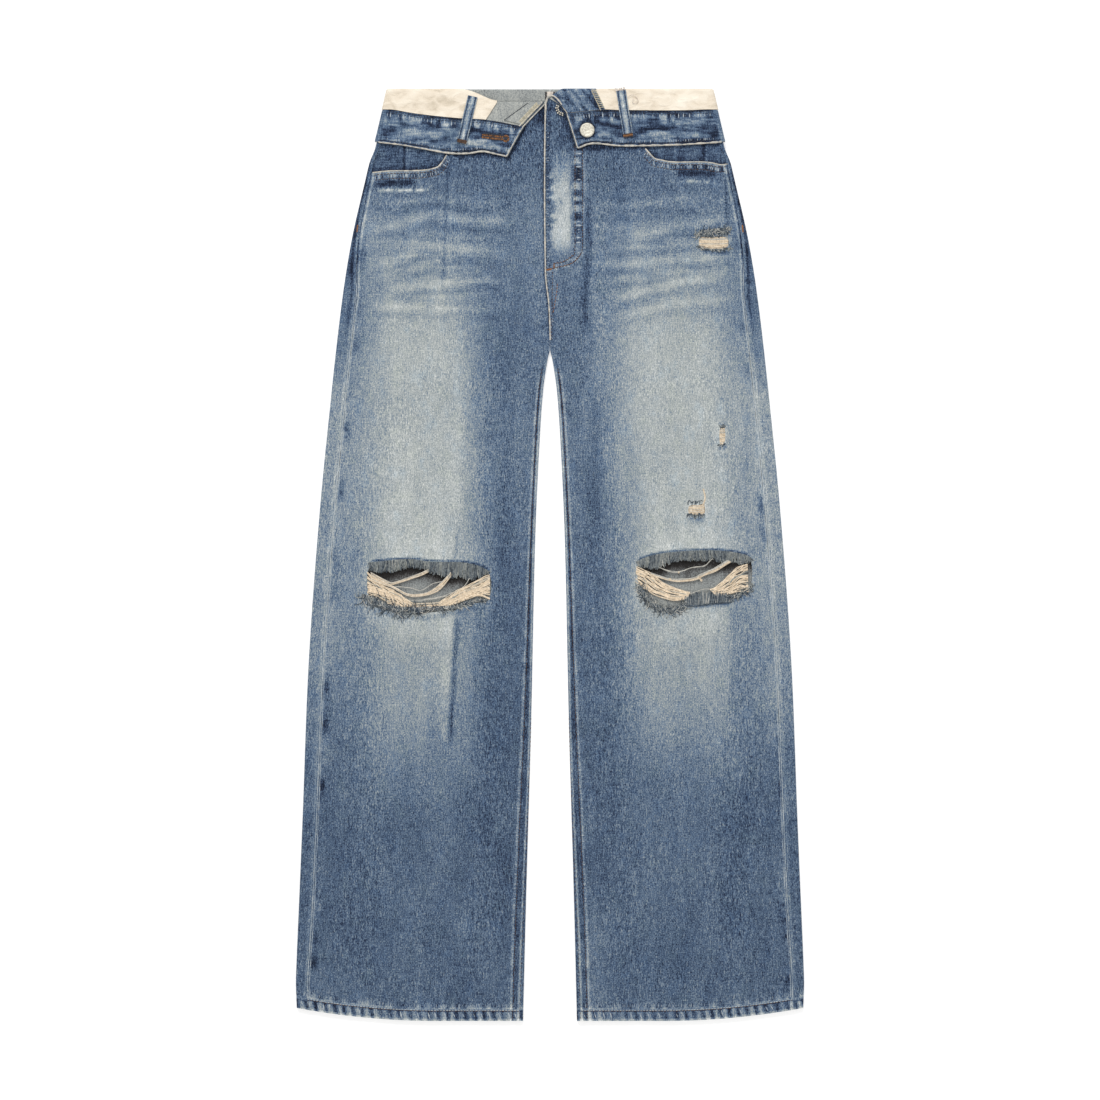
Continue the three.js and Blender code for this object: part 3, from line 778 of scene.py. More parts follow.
def inseam_light(side, y, inner):
    """A pale fold, a dark channel and the topstitched ridge."""
    leg = fall(195, 232, y)
    run = pucker(y, inner, 13, 21 + side.sign)
    level = 62 * hump(inner - inseam_fold(y), 1.0) - 18 * hump(inner - inseam_fold(y) - 2.6, 1.8)
    level += 48 * hump(inner - inseam_stitch(y) - 2.0, 1.2) + 22 * run * hump(inner - inseam_stitch(y), 6)
    level -= 34 * hump(inner - inseam_stitch(y) + 0.4, 1.2)
    level -= 12 * hump(inner - 1.0, 1.6) * fall(-400, -100, y)
    return leg * level


def hem_light(x, y):
    """Roping under the hem's stitches, a painted shadow just under them, short pale pulls above them, and the
    worn lower edge.
    """
    above = y - HEM_Y
    level = fall(10, 11.5, above) * (2 + 56 * rope_wave(x, above, 31)) + 66 * hump(above - 0.6, 1.6)
    # A pale worn ridge above the stitches, and a painted shadow just under them.
    level += 40 * hump(above - 13.4, 1.2) * (0.8 + 0.5 * noise(x / 8, 0, 36)) - 34 * hump(above - 11.2, 0.9)
    pulls = np.clip(1.5 * noise(x / 3.0, above / 16, 33), -0.5, 1)
    return level + 38 * pulls * fall(14, 23, above) * ease(12.5, 14, above)


def mouth_line(side):
    """The pocket mouth's edge, from the side seam inwards."""
    return side.mouth[1:-2]


def mouth_light(side, x, y):
    """Wear at a pocket's mouth: its edge and stitches, and a dark patch and a pale line under them."""
    line = mouth_line(side)
    level = 46 * band(x, y + 1.2, line, 1.3, 0)
    between = [(px - 1.5 * side.sign, py - 5.4) for px, py in line[:-1]]
    under = [(px - 1.5 * side.sign, py - 9.8) for px, py in line[:-1]]
    waves = noise((x + 0.4 * y) / 2.6, y / 30, 41)
    level += band(x, y, between, 2.6, 0) * (88 * waves - 8) + 16 * band(x, y, under, 1.2, 0)
    first, last, drop = side.patch
    patch = [(px, py - drop) for px, py in line[first:last]]
    pale = [(px, py - 21.5 - 3 * noise(px / 9, 0, 43)) for px, py in line[:4]]
    level -= 78 * band(x, y, patch, 4.0, 0.2) * (0.9 + 0.4 * noise(x / 6, y / 4, 45))
    return level + 84 * band(x, y, pale, 1.9, 0.2) * (0.6 + 0.8 * noise(x / 4, y / 6, 44))


# The fly's two rows of stitches, down and round to its edge
FLY_INNER = [(28.7, 470), (28.7, 357), (26.4, 344), (21, 340), (15, 336.6), (2, 334)]
FLY_OUTER = [(37.4, 470), (37.4, 352), (35.6, 346), (29.3, 338), (21.9, 333.5), (11.5, 331), (-1.7, 328)]

# The right front's edge, from the fly up and over to its turned end
FLAP_TURN = [(-4.9, 509), (-4.9, 517), (-3.6, 523), (0.8, 526.6), (5.0, 525.6), (9.6, 521.6), (14, 515.5)]


def fly_light(x, y):
    """The right front's fly, worn pale between its folded edge and the double topstitch."""
    inner = x - fly_edge(y)
    rise = ease(238, 262, y)
    level = -24 * rise * hump(inner - 4.6, 2.0)
    jagged = 9 + 4 * noise(y / 5, 0, 51) + 2 * noise(y / 2.2, 0, 52)
    worn = ease(jagged - 2.5, jagged + 2.5, inner) * fall(21, 27 + 2 * noise(y / 6, 0, 54), x)
    level += 56 * worn * ease(342, 362, y) * fall(425, 474, y) * (1 + 0.35 * noise(x / 6, y / 9, 55))
    squares = np.clip(2.2 * noise(y / 4.4, 0, 53), -1, 1)
    level += hump(x - 32.5, 3.6) * ease(352, 366, y) * (52 * squares - 20)
    level += 34 * band(x, y, [(px + 1.8, py - 0.5) for px, py in FLY_OUTER], 1.3, 0)
    level -= 20 * band(x, y, FLY_OUTER, 1.2, 0)
    level += 46 * band(x, y, FLY_INNER, 1.8, 0) * np.clip(squares, -0.4, 1)
    curve_gap, _ = line_distance(x, y, FLY_OUTER[2:])
    level += 34 * hump(curve_gap, 6) * noise(x / 3.5, y / 3.5, 56)
    # Darker up by the fold under the turned flap: unfaded cloth with painted shadow on it.
    level -= 46 * hump(x - 4, 9) * ease(508, 514, y)
    return level - 26 * hump(x - 18, 12) * ease(446, 478, y)


def left_rise_light(x, y):
    """Next to the fly the left front is shaded by the lap over it."""
    edge = -46 * hump(fly_edge(y) - x, 2.0) * ease(240, 262, y)
    return edge - 50 * hump(x + 12, 8) * ease(488, 500, y) - 20 * band(x, y, [(-30, 490), (-42, 468)], 5, 0)


def rip_light(side, x, y):
    """Paler cloth round each rip, painted shadows under loose ends and under the waistband, and blue along
    the knee rip's curled upper edge.
    """
    level = np.zeros(np.shape(x))
    for points, size, width in [(side.knee, 12, 9), *((hole, 20, 3) for hole in side.worn_through)]:
        gap, _ = line_distance(x, y, points + points[:1])
        level += size * hump(gap, width)
    # Painted shadows under loose ends, round the hip hole and in the gap under the right waistband.
    for points, width, dark in side.shadows_below:
        level -= dark * band(x, y, points, width, 0.12)
    return level - 96 * band(x, y - 0.6, side.lip, 1.15, 0.05)


def front_relief(side, x, y):
    """How far the front's cloth stands out of its flat form."""
    outer, inner = seam_distances(side, x, y)
    lift = 0.28 * noise(x / 34, y / 70, 61) + 0.14 * noise(x / 12, y / 26, 62)
    for points, width, height in CREASES[side.sign]:
        lift += height * band(x, y, points, width, 0.2)
    run = pucker(y, outer, 24, 11 + side.sign)
    lift += 0.5 * hump(outer - 1.8, 1.8) - 0.45 * fall(300, 420, y) * np.clip(run, 0, 1) * hump(outer - 9, 6)
    leg = fall(195, 232, y)
    lift += leg * (0.5 * hump(inner - inseam_fold(y), 1.6) - 0.3 * hump(inner - inseam_stitch(y), 1.4))
    lift += leg * 0.3 * pucker(y, inner, 13, 21 + side.sign) * hump(inner - inseam_stitch(y), 6)
    above = y - HEM_Y
    lift += 0.38 * rope_wave(x, above, 31) * fall(9, 12, above) - 0.5 * hump(above - HEM_STITCH, 1.2)
    lift += 0.3 * noise(x / 7, y / 30, 34) * fall(14, 34, above) * ease(12, 14, above)
    gap, along = line_distance(x, y, side.lip)
    lift += 1.7 * hump(gap, 7) * ease(0, 0.15, along) * fall(0.85, 1, along)
    lift += 0.4 * noise(x / 6, y / 30, 35) * hump(gap, 12)
    line = mouth_line(side)
    lift += 0.4 * band(x, y + 1.6, line, 2, 0) + 0.35 * noise(x / 5, y / 30, 41) * band(x, y + 5, line, 4, 0)
    if side.sign > 0:
        lift += 0.7 * ease(238, 262, y) * hump(x - fly_edge(y) - 1.4, 2)
        lift += 0.4 * noise(y / 4.2, 0, 53) * hump(x - 33, 4) * ease(352, 366, y)
        lift -= 0.3 * band(x, y, FLY_INNER, 1.5, 0) + 0.3 * band(x, y, FLY_OUTER, 1.5, 0)
    return lift


def front_crown(side, y, s):
    start = np.maximum(quarter_at(y), seam_at(y) + GAP / 2) + 1.5
    share = np.clip((s - start) / (reach(y, side.inner_x(y)) - start), 0, 1)
    return CROWN * np.sin(np.pi * share) * fall(150, 230, y) * ease(HEM_TOP_Y, -470, y)


def front_face(side):
    """The height of a front's outer face at any place on it."""

    def height(x, y):
        x, y = np.asarray(x, float), np.asarray(y, float)
        flat = y - hem_shift(x, y)
        z = front_level(flat) + cloth_at(flat) / 2
        return z + front_crown(side, flat, reach(flat, side.sign * x)) + front_relief(side, x, flat)

    return height


# ---- meshes

def make_mesh(name, vertices, faces, materials, slots=None, wear=None):
    """One object, from points in millimetres."""
    mesh = bpy.data.meshes.new(name)
    mesh.from_pydata((np.asarray(vertices) * MM).tolist(), [], [list(map(int, f)) for f in faces])
    for material in materials:
        mesh.materials.append(material)
    if slots is not None:
        mesh.polygons.foreach_set("material_index", np.asarray(slots, np.int32))
    if wear is not None:
        layer = mesh.attributes.new("wear", "FLOAT_VECTOR", "POINT")
        layer.data.foreach_set("vector", np.asarray(wear, np.float32).ravel())
    mesh.validate()
    mesh.shade_smooth()
    mesh.set_sharp_from_angle(angle=math.radians(55))
    made = bpy.data.objects.new(name, mesh)
    bpy.context.collection.objects.link(made)
    return made


def unit(v):
    return v / np.maximum(np.linalg.norm(v, axis=-1, keepdims=True), 1e-9)


def normals_of(points, outward):
    """Unit normals of a grid, on the side that the sign of outward asks of z at its middle."""
    normals = unit(np.cross(np.gradient(points, axis=1), np.gradient(points, axis=0)))
    row, column = outward[0], outward[1]
    return normals if normals[row, column, 2] * outward[2] > 0 else -normals


def wear_and_shade_of(level, tea=0.1, slub_and_shade=1.0):
    """The wear attribute, from how light the cloth is in levels, painted shade and highlights included. slub
    is how slubby the cloth is; on the backs' wrong side it is painted shade instead.
    """
    light = (np.asarray(level, float) - DARKEST) / (LIGHTEST - DARKEST)
    return np.stack(np.broadcast_arrays(np.clip(light, 0.02, 1), tea, slub_and_shade), -1)


def cloth(name, points, normals, thickness, finishes, wear, keep=None, snap=(), inner_wear_and_shade=None):
    """A closed piece of cloth on a grid of mid points. normals look out of its right side.

    finishes are those of the right side, the wrong side and the cut edge; keep says which cells
    of the grid are there; snap holds outlines that the border of a hole is drawn onto; inner_wear_and_shade
    is the wear of the wrong side where it differs."""
    rows, columns = points.shape[:2]
    half = (np.asarray(thickness, float) * np.ones((rows, columns)) / 2)[..., None]
    if keep is None:
        keep = np.ones((rows - 1, columns - 1), bool)
    index = np.arange(rows * columns).reshape(rows, columns)
    quads = np.stack([index[:-1, :-1], index[:-1, 1:], index[1:, 1:], index[1:, :-1]], -1)[keep]
    flat = points.reshape(-1, 3).copy()
    edges = np.concatenate([quads[:, [k, (k + 1) % 4]] for k in range(4)])
    _, first, count = np.unique(np.sort(edges, axis=1), axis=0, return_index=True, return_counts=True)
    border = edges[first[count == 1]]
    for shape in snap:
        draw_onto(flat, np.unique(border), np.array(shape, float))
    shift = (normals * half).reshape(-1, 3)
    n = rows * columns
    facing = np.cross(flat[quads[:, 1]] - flat[quads[:, 0]], flat[quads[:, 2]] - flat[quads[:, 0]])
    outward = (facing * normals.reshape(-1, 3)[quads[:, 0]]).sum() > 0
    over = quads if outward else quads[:, ::-1]
    under = over[:, ::-1] + n
    a, b = (border[:, 1], border[:, 0]) if outward else (border[:, 0], border[:, 1])
    rim = np.stack([a, b, b + n, a + n], -1)
    slots = np.repeat([0, 1, 2], [len(over), len(under), len(rim)])
    used, faces = np.unique(np.concatenate([over, under, rim]), return_inverse=True)
    both = np.concatenate([flat + shift, flat - shift])
    inner_wear_and_shade = wear if inner_wear_and_shade is None else inner_wear_and_shade
    wears = np.concatenate([wear.reshape(-1, 3), inner_wear_and_shade.reshape(-1, 3)])
    return make_mesh(name, both[used], faces.reshape(-1, 4), finishes, slots, wears[used])


def draw_onto(flat, members, shape, limit=2.4):
    """Moves border points that are near a closed outline onto it, in x and y."""
    along = np.roll(shape, -1, axis=0) - shape
    for k in members:
        t = np.clip(((flat[k, :2] - shape) * along).sum(1) / (along ** 2).sum(1), 0, 1)
        near = shape + along * t[:, None]
        gaps = np.linalg.norm(near - flat[k, :2], axis=1)
        if gaps.min() < limit:
            flat[k, :2] = near[gaps.argmin()]


def curve(points, step=1.0, closed=False):
    """A smooth line through points, with a point every step."""
    points = np.array(points, float)
    if closed:
        ring = np.concatenate([points[-1:], points, points[:2]])
    else:
        ring = np.concatenate([2 * points[:1] - points[1:2], points, 2 * points[-1:] - points[-2:-1]])
    out = []
    for p0, p1, p2, p3 in zip(ring, ring[1:], ring[2:], ring[3:]):
        count = max(int(np.linalg.norm(p2 - p1) / step), 1)
        t = (np.arange(count) / count)[:, None]
        out.append(0.5 * (2 * p1 + (p2 - p0) * t + (2 * p0 - 5 * p1 + 4 * p2 - p3) * t ** 2
                          + (3 * p1 - p0 - 3 * p2 + p3) * t ** 3))
    return np.concatenate(out if closed else [*out, points[-1:]])


def frayed(points, step, fray, seed):
    """A closed outline with soft corners and a slightly uneven edge."""
    line = curve(points, step, closed=True)
    line[:, 1] += fray * noise(np.arange(len(line)) * step / 5, 0, seed)
    return [tuple(p) for p in line]


class Threads:
    """Many thin strands, made as one mesh."""

    def __init__(self, *finishes):
        self.finishes = finishes
        self.vertices, self.faces, self.slots = [], [], []
        self.count = 0

    def add(self, points, radius, slot=0, sides=4, flat=1.0):
        points = np.asarray(points, float)
        n = len(points)
        tangent = unit(np.gradient(points, axis=0))
        side = unit(np.cross(tangent, (1e-4, 0, 1.0)))
        rise = np.cross(side, tangent)
        angle = np.arange(sides) * 2 * np.pi / sides
        wide = (radius * np.ones(n))[:, None, None]
        cos, sin = np.cos(angle)[:, None], np.sin(angle)[:, None]
        ring = cos * side[:, None] + flat * sin * rise[:, None]
        self.vertices.append((points[:, None] + wide * ring).reshape(-1, 3))
        k = np.arange(sides)
        turn = (k + 1) % sides
        start = self.count + sides * np.arange(n - 1)[:, None]
        quads = np.stack([start + turn, start + k, start + sides + k, start + sides + turn], -1)
        last = self.count + sides * (n - 1)
        self.faces += quads.reshape(-1, 4).tolist()
        self.faces += [(self.count + k).tolist(), (last + k[::-1]).tolist()]
        self.slots += [slot] * ((n - 1) * sides + 2)
        self.count += n * sides

    def stitches(self, path, height, slot=0, pitch=3.8, length=3.0, radius=0.4, proud=0.25):
        """A row of stitches along a line on the cloth whose face is at height."""
        path = np.array(path, float)
        run = np.concatenate([[0], np.cumsum(np.linalg.norm(np.diff(path, axis=0), axis=1))])
        for start in np.arange(0.4, run[-1] - length, pitch):
            at = start + np.array([0, 0.12, 0.5, 0.88, 1]) * length
            x, y = sampled(path, run, at).T
            z = height(x, y) + np.array([-0.4, 0.0, proud, 0.0, -0.4])
            self.add(np.stack([x, y, z], -1), radius * np.array([0.5, 0.9, 1, 0.9, 0.5]), slot)

    def bartack(self, start, end, height, slot=0, width=1.4):
        """A short dense bar of stitches."""
        start, end = np.array(start, float), np.array(end, float)
        along = end - start
        across = np.array([-along[1], along[0]]) / np.linalg.norm(along) * width / 2
        for t in np.arange(0, 1.001, 0.7 / np.linalg.norm(along)):
            middle = start + along * t
            ends = np.array([middle - across, middle, middle + across])
            z = height(ends[:, 0], ends[:, 1]) + np.array([-0.1, 0.45, -0.1])
            self.add(np.column_stack([ends, z]), 0.42, slot)

    def make(self, name):
        return make_mesh(name, np.concatenate(self.vertices), self.faces, self.finishes, self.slots)


def lie_on(line, height, above=0.0):
    """Points on the cloth over a line drawn in x and y."""
    line = np.asarray(line, float)
    return np.column_stack([line[:, :2], height(line[:, 0], line[:, 1]) + above])


def piece(made, slot, *nodes):
    """Every piece rides on the garment's one body; it may stand for CAD nodes."""
    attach(made, "root")
    if nodes:
        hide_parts(*nodes)
    return made


# ---- the fronts

# A front's columns are close together at both edges, in these steps, and even in the middle
EDGE_STEPS = np.array([0, 0.7, 1.4, 2.1, 2.9, 3.8, 4.8, 6, 7.3, 8.7, 10.2, 12, 14, 16.5])
FRONT_MIDDLE = 78
BEND = 9  # rows round the fold at the waist


def column_reach(y, inner):
    """How far round the tube each of a front's columns is, at its own height y."""
    k = len(EDGE_STEPS)
    count = FRONT_MIDDLE + 2 * k
    start = (seam_at(y) + GAP / 2) * np.ones(count)
    end = reach(y, inner) * np.ones(count)
    share = np.linspace(0, 1, FRONT_MIDDLE + 2)[1:-1]
    middle = lerp(start[k:-k] + EDGE_STEPS[-1], end[k:-k] - EDGE_STEPS[-1], share)
    return np.concatenate([start[:k] + EDGE_STEPS, middle, end[-k:] - EDGE_STEPS[::-1]])


class Front:
    """A front's grid: up the leg, over the fold and down to the waistband seam."""

    def __init__(self, side):
        self.side = side
        body, light = self.flat_rows()
        self.flat_count = len(body)
        tail = self.turned_rows()
        self.points = np.concatenate([body, tail])
        shade = 96 + 16 * noise(tail[..., 0] / 9, tail[..., 1] / 6, 72)
        self.light = np.concatenate([light, shade])
        self.normals = normals_of(self.points, (60, 50, 1))

    def flat_rows(self):
        side = self.side
        rows = np.concatenate([
            np.arange(HEM_Y, -518, 1.25), np.arange(-517.5, -500, 2.2), np.arange(-499, -80, 3.5),
            np.arange(-78, 16, 1.8), np.arange(18, 325, 3.4), np.arange(327, 512, 2.0)])
        s = np.array([column_reach(y, side.inner_x(y)) for y in rows])
        y = rows[:, None] + 0 * s
        body = section(y, s)
        body[..., 2] += front_crown(side, y, s)
        body[..., 1] += hem_shift(body[..., 0], y)
        x = side.sign * body[..., 0]
        body[..., 2] += front_relief(side, x, y) * fall(500, 512, y) * ease(0, 3, s - quarter_at(y) + 2)
        light = front_light(side, x, y)
        body[..., 0] = x
        return body, light

    def turned_rows(self):
        side = self.side
        level = side.fold_y(side.sign * section(520.0, column_reach(520.0, side.edge_x(520.0)))[:, 0])
        over_fold = column_reach(level, side.edge_x(level))
        quarter = quarter_at(level)
        share = np.clip((over_fold - quarter) / (reach(level, side.edge_x(level)) - quarter), 0, 1)
        rows = []
        for angle in np.linspace(0, np.pi, BEND):
            ring = section(level, over_fold, FOLD_R * (1 - math.cos(angle)))
            ring[:, 1] += FOLD_R * math.sin(angle)
            rows.append(ring)
        seam_x = lerp(side_centre(BAND_SEAM_Y), side.seam_end, share)
        end = side.band_seam(side.sign * seam_x) + GAP
        for t in np.linspace(0, 1, 14)[1:]:
            y = lerp(level, end, t)
            inner = lerp(side.edge_x(level), side.seam_end, 1 - (1 - t) ** side.bow)
            ring = section(y, column_reach(y, inner), TURNED)
            ring[:, 2] += 0.45 * noise(ring[:, 0] / 11, ring[:, 1] / 9, 71) * np.sin(np.pi * t)
            rows.append(ring)
        rows = np.array(rows)
        rows[..., 0] *= side.sign
        return rows

    def make(self, finishes):
        side, points = self.side, self.points
        centre = (points[:-1, :-1] + points[1:, 1:]) / 2
        holes = [frayed(side.knee, 3, 0.8, 81), *(frayed(h, 2, 0.4, 82) for h in side.worn_through)]
        low = np.arange(len(centre))[:, None] < self.flat_count - 2
        keep = np.ones(centre.shape[:2], bool)
        for hole in (side.mouth, *holes):
            keep &= ~(within(centre[..., 0], centre[..., 1], hole) & low)
        thickness = cloth_at(points[..., 1] - hem_shift(points[..., 0], points[..., 1]))
        wear = wear_and_shade_of(self.light, tea_stain(points), 1.06 - 0.3 * ease(110, 175, self.light))
        made = cloth(
            f"front_{side.name}_panel", points, self.normals, thickness, finishes, wear, keep,
            [side.mouth, *holes])
        return piece(made, "denim", f"front_{side.name}")

    def layer(self, thickness, outer_end, inner_end, count):
        """A grid lying on the wrong side of the turned cloth, from inside the garment to the seam."""
        fold_end = self.flat_count + BEND - 1
        raised = self.points - self.normals * ((DENIM + thickness) / 2 + GAP)
        rows = []
        for i in range(self.flat_count - 6, len(self.points)):
            t = max(i - fold_end, 0) / (len(self.points) - 1 - fold_end)
            reach_x = -np.abs(self.points[i, :, 0])
            columns = np.arange(len(reach_x))
            first = np.interp(-lerp(*outer_end, t), reach_x, columns) if outer_end else 0
            last = np.interp(-lerp(*inner_end, t), reach_x, columns)
            at = np.linspace(first, last, count)
            rows.append(sampled(raised[i], columns, at))
        return np.array(rows)

    def facing_grid(self):
        return self.layer(DENIM, (53.1, 63), (2.5, 20.8), 34)


def tea_stain(points):
    """A faint yellow cast on the worn thighs and knees."""
    x, y = np.abs(points[..., 0]), points[..., 1]
    return 0.1 + 0.6 * hump(x - 150, 60) * ease(-260, -60, y) * fall(300, 420, y)


TURNED_Z = 9.5  # a lining is on the turned front above this height, and inside the garment below it


def make_linings(front, cotton, blue):
    """The pocket bag over the turned front and, on the right, the fly facing."""
    side = front.side
    grid = front.layer(LINING, None, side.bag_end, 60)
    x, y = grid[..., 0], grid[..., 1]
    creases = 0.35 * noise(x / 9, y / 16, 121) + 0.25 * noise(x / 4, y / 7, 122)
    grid[..., 2] += np.where(grid[..., 2] > TURNED_Z, creases, 0)
    wear = wear_and_shade_of(np.full(grid.shape[:2], 200.0))
    bag = cloth(
        f"pocket_bag_{side.name}_cotton", grid, normals_of(grid, (-3, 30, 1)), LINING, [cotton] * 3, wear)
    made = [piece(bag, "pocketing", f"pocket_bag_{side.name}")]
    if side.sign > 0:
        grid = front.facing_grid()
        x, y = grid[..., 0], grid[..., 1]
        folds = noise((x + 0.9 * y) / 4.2, (y - x) / 26, 123)
        grid[..., 2] += np.where(grid[..., 2] > TURNED_Z, 0.5 * folds, 0)
        # The folds are also painted into the colour: painted highlight on their ridges, painted shade in
        # their hollows.
        light = 98 + 62 * folds + 18 * noise(x / 5, y / 5, 124)
        # Darker under the flap's turn: unfaded cloth with painted shadow on it.
        light = np.where(within(x, y, FLAP_TURN + [(16, 508), (4, 500)]), 52, light)
        facing = cloth(
            "fly_facing_panel", grid, normals_of(grid, (-3, 16, 1)), DENIM, blue, wear_and_shade_of(light))
        made.append(piece(facing, "waist_denim", "fly_facing"))
    return made


def make_pocket_facing(side, finishes):
    """The denim seen through a pocket's mouth, in painted shade under the edges round it."""
    rows, columns = np.linspace(424, 498, 30), np.linspace(0, 1, 70)
    y = rows[:, None] + 0 * columns
    x = lerp(side_centre(y) - 2, side.facing_inner, columns)
    z = level_at(y) + 0.25 * noise(x / 8, y / 12, 131)
    points = np.stack([side.sign * x, y, z], -1)
    gap, _ = line_distance(points[..., 0], y, mouth_line(side))
    # Painted shade under the mouth's edge and under the waistband's edge.
    light = 78 + 12 * noise(x / 6, y / 20, 132) - 34 * hump(gap, 4) - 30 * hump(y - 478, 7)
    beside = points[..., 0] - side.pocket_line
    light -= 58 * hump(beside, 1.5) - 20 * hump(beside - 3.4, 1.6)
    made = cloth(
        f"pocket_facing_{side.name}_panel", points, normals_of(points, (4, 4, 1)), DENIM, finishes,
        wear_and_shade_of(light))
    return piece(made, "denim", f"pocket_facing_{side.name}")


# ---- the backs and yokes

def back_light(x, y):
    ax = np.abs(x)
    level = GROUND(y) + 58 * hump(ax - 120, 75) * hump(y - 300, 120)
    level += 40 * hump(ax - 150, 60) * hump(y + 60, 260)
    level += 6 * noise(x / 24, y / 60, 91) + 4 * noise(x / 8, y / 25, 92)
    above = y - HEM_Y
    return level + fall(10.5, 13, above) * 34 * rope_wave(x, above, 93) + 48 * hump(above - 0.6, 1.6)


def knee_shade(side, x, y):
    """How dark the inside of the leg is painted behind a rip, as painted shade: darkest under the upper lip,
    0 to 1.
    """
    within_leg = ease(60, 90, np.abs(x)) * hump(y + 30, 60)
    under_lip = side.lip_low(x) - 2 - y
    return within_leg * np.clip(0.22 + 0.74 * hump(under_lip, 8) - 0.2 * ease(12, 34, under_lip), 0, 1)


# A back's columns: over the front's side, round the edge, and behind
WRAP, ARC, BACK_FLATS = 10, 8, 49


def back_columns(y):
    """How far round the tube each of a back's columns is."""
    k = np.arange(WRAP + ARC + BACK_FLATS)
    start = seam_at(y) - GAP / 2
    quarter = quarter_at(y)
    top = np.minimum(start - 0.4, quarter)
    over = lerp(start, top, np.clip(k / (WRAP - 1), 0, 1))
    arc = lerp(top, -quarter, np.clip((k - WRAP + 1) / ARC, 0, 1))
    inner = np.where(y < CROTCH_Y, inner_edge(y), GAP / 2)
    flat = lerp(-quarter, -reach(y, inner), np.clip((k - WRAP - ARC + 1) / BACK_FLATS, 0, 1))
    return np.where(k < WRAP, over, np.where(k < WRAP + ARC, arc, flat))


def yoke_seam(x):
    return lerp(478, 508, np.abs(x) / 195)


def make_back(side, finishes):
    rows = np.concatenate([
        np.arange(HEM_Y, -516, 2.0), np.arange(-515, -80, 5.2), np.arange(-79, 16, 3),
        np.arange(18, 478, 5.2)])
    s = np.array([back_columns(y) for y in rows])
    y = rows[:, None] + 0 * s
    points = section(y, s)
    points[..., 1] += hem_shift(points[..., 0], y)
    top = yoke_seam(points[-1, :, 0]) - GAP / 2
    upper = []
    for t in np.linspace(0, 1, 7)[1:]:
        y_top = lerp(rows[-1], top, t)
        upper.append(section(y_top, back_columns(y_top)))
    points = np.concatenate([points, upper])
    outer = outline(points[..., 1]) - seam_inset(points[..., 1]) - points[..., 0]
    points[..., 0] *= side.sign
    x, y = points[..., 0], points[..., 1]
    flat_y = y - hem_shift(x, y)
    light = back_light(x, flat_y)
    over = np.arange(points.shape[1]) < WRAP + 4
    front = thigh_fade(side, x, flat_y) + 24 * hump(outer + 1.8, 1.4) + 9 * pucker(flat_y, 0, 18, 95)
    front -= ease(210, 330, flat_y) * (12 + 46 * hump(outer + 4.6, 2.4))
    front += 34 * ease(250, 330, flat_y) * noise(flat_y / 9, side.sign, 96) * hump(outer + 6, 5)
    light = np.where(over, front + hem_light(x, flat_y), light)
    points[..., 2] += 0.35 * hump(outer + 1.8, 1.5) * over
    # lit carries the painted shade inside the leg behind the knee rips, on the wrong side only.
    lit = 1 - knee_shade(side, x, y)
    made = cloth(
        f"back_{side.name}_panel", points, normals_of(points, (60, 40, -1)), cloth_at(flat_y), finishes,
        wear_and_shade_of(light, tea_stain(points)), inner_wear_and_shade=wear_and_shade_of(light, 0, lit))
    return piece(made, "denim", f"back_{side.name}")


YOKE_COLUMNS = 66


def yoke_columns(y):
    k = np.arange(YOKE_COLUMNS)
    start = quarter_at(y) + 1.5
    near = lerp(GAP / 2, start, np.clip(k / 8, 0, 1))
    return -np.where(k <= 8, near, lerp(start, reach(y, GAP / 2), (k - 8) / (YOKE_COLUMNS - 9)))


def make_yoke(side, finishes):
    guess = section(np.full(YOKE_COLUMNS, 490.0), yoke_columns(490.0))
    low = yoke_seam(guess[:, 0]) + GAP / 2
    rows = []
    for t in np.linspace(0, 1, 12):
        y = lerp(low, BACK_FOLD_Y, t)
        rows.append(section(y, yoke_columns(y)))
    fold = np.full(YOKE_COLUMNS, BACK_FOLD_Y)
    for angle in np.linspace(0, np.pi, BEND)[1:]:
        ring = section(fold, yoke_columns(fold), FOLD_R * (1 - math.cos(angle)))
        ring[:, 1] += FOLD_R * math.sin(angle)
        rows.append(ring)
    for t in np.linspace(0, 1, 7)[1:]:
        y = lerp(fold, BAND_SEAM_Y + GAP, t)
        rows.append(section(y, yoke_columns(y), TURNED))
    points = np.array(rows)
    points[..., 2] += 0.25 * noise(points[..., 0] / 16, points[..., 1] / 12, 101) * (points[..., 2] > 4)
    points[..., 0] *= side.sign
    light = 104 + 16 * noise(points[..., 0] / 12, points[..., 1] / 10, 102)
    made = cloth(
        f"yoke_{side.name}_panel", points, normals_of(points, (2, 40, -1)), DENIM, finishes, wear_and_shade_of(light))
    return piece(made, "denim", f"yoke_{side.name}")


# The right back pocket's corners
BACK_POCKET = [(45, 402), (190, 396), (182, 262), (116, 236), (54, 266)]


def flat_plate(name, corners, finishes, z, level):
    """Flat cloth of four corners, or five with a pointed bottom, from its top left; level is its light."""
    corners = np.array(corners, float)
    across = np.linspace(0, 1, 44)[:, None]
    top = lerp(corners[0], corners[1], across)
    if len(corners) == 5:
        half = 22
        bottom = np.concatenate([
            lerp(corners[4], corners[3], across[:half] / across[half - 1]),
            lerp(corners[3], corners[2], (across[half:] - across[half]) / (1 - across[half]))])
    else:
        bottom = lerp(corners[3], corners[2], across)
    grid = np.array([lerp(top, bottom, t) for t in np.linspace(0, 1, 40)])
    x, y = grid[..., 0], grid[..., 1]
    points = np.dstack([x, y, z + DENIM / 2 + 0 * x])
    edge, _ = line_distance(x, y, [*map(tuple, corners), tuple(corners[0])])
    light = level + 8 * noise(x / 9, y / 14, 141) + 30 * hump(edge - 0.6, 1.4) - 12 * hump(edge - 3.4, 1.2)
    normals = normals_of(points, (3, 3, 1 if z > 0 else -1))
    return cloth(name, points, normals, DENIM, finishes, wear_and_shade_of(light))


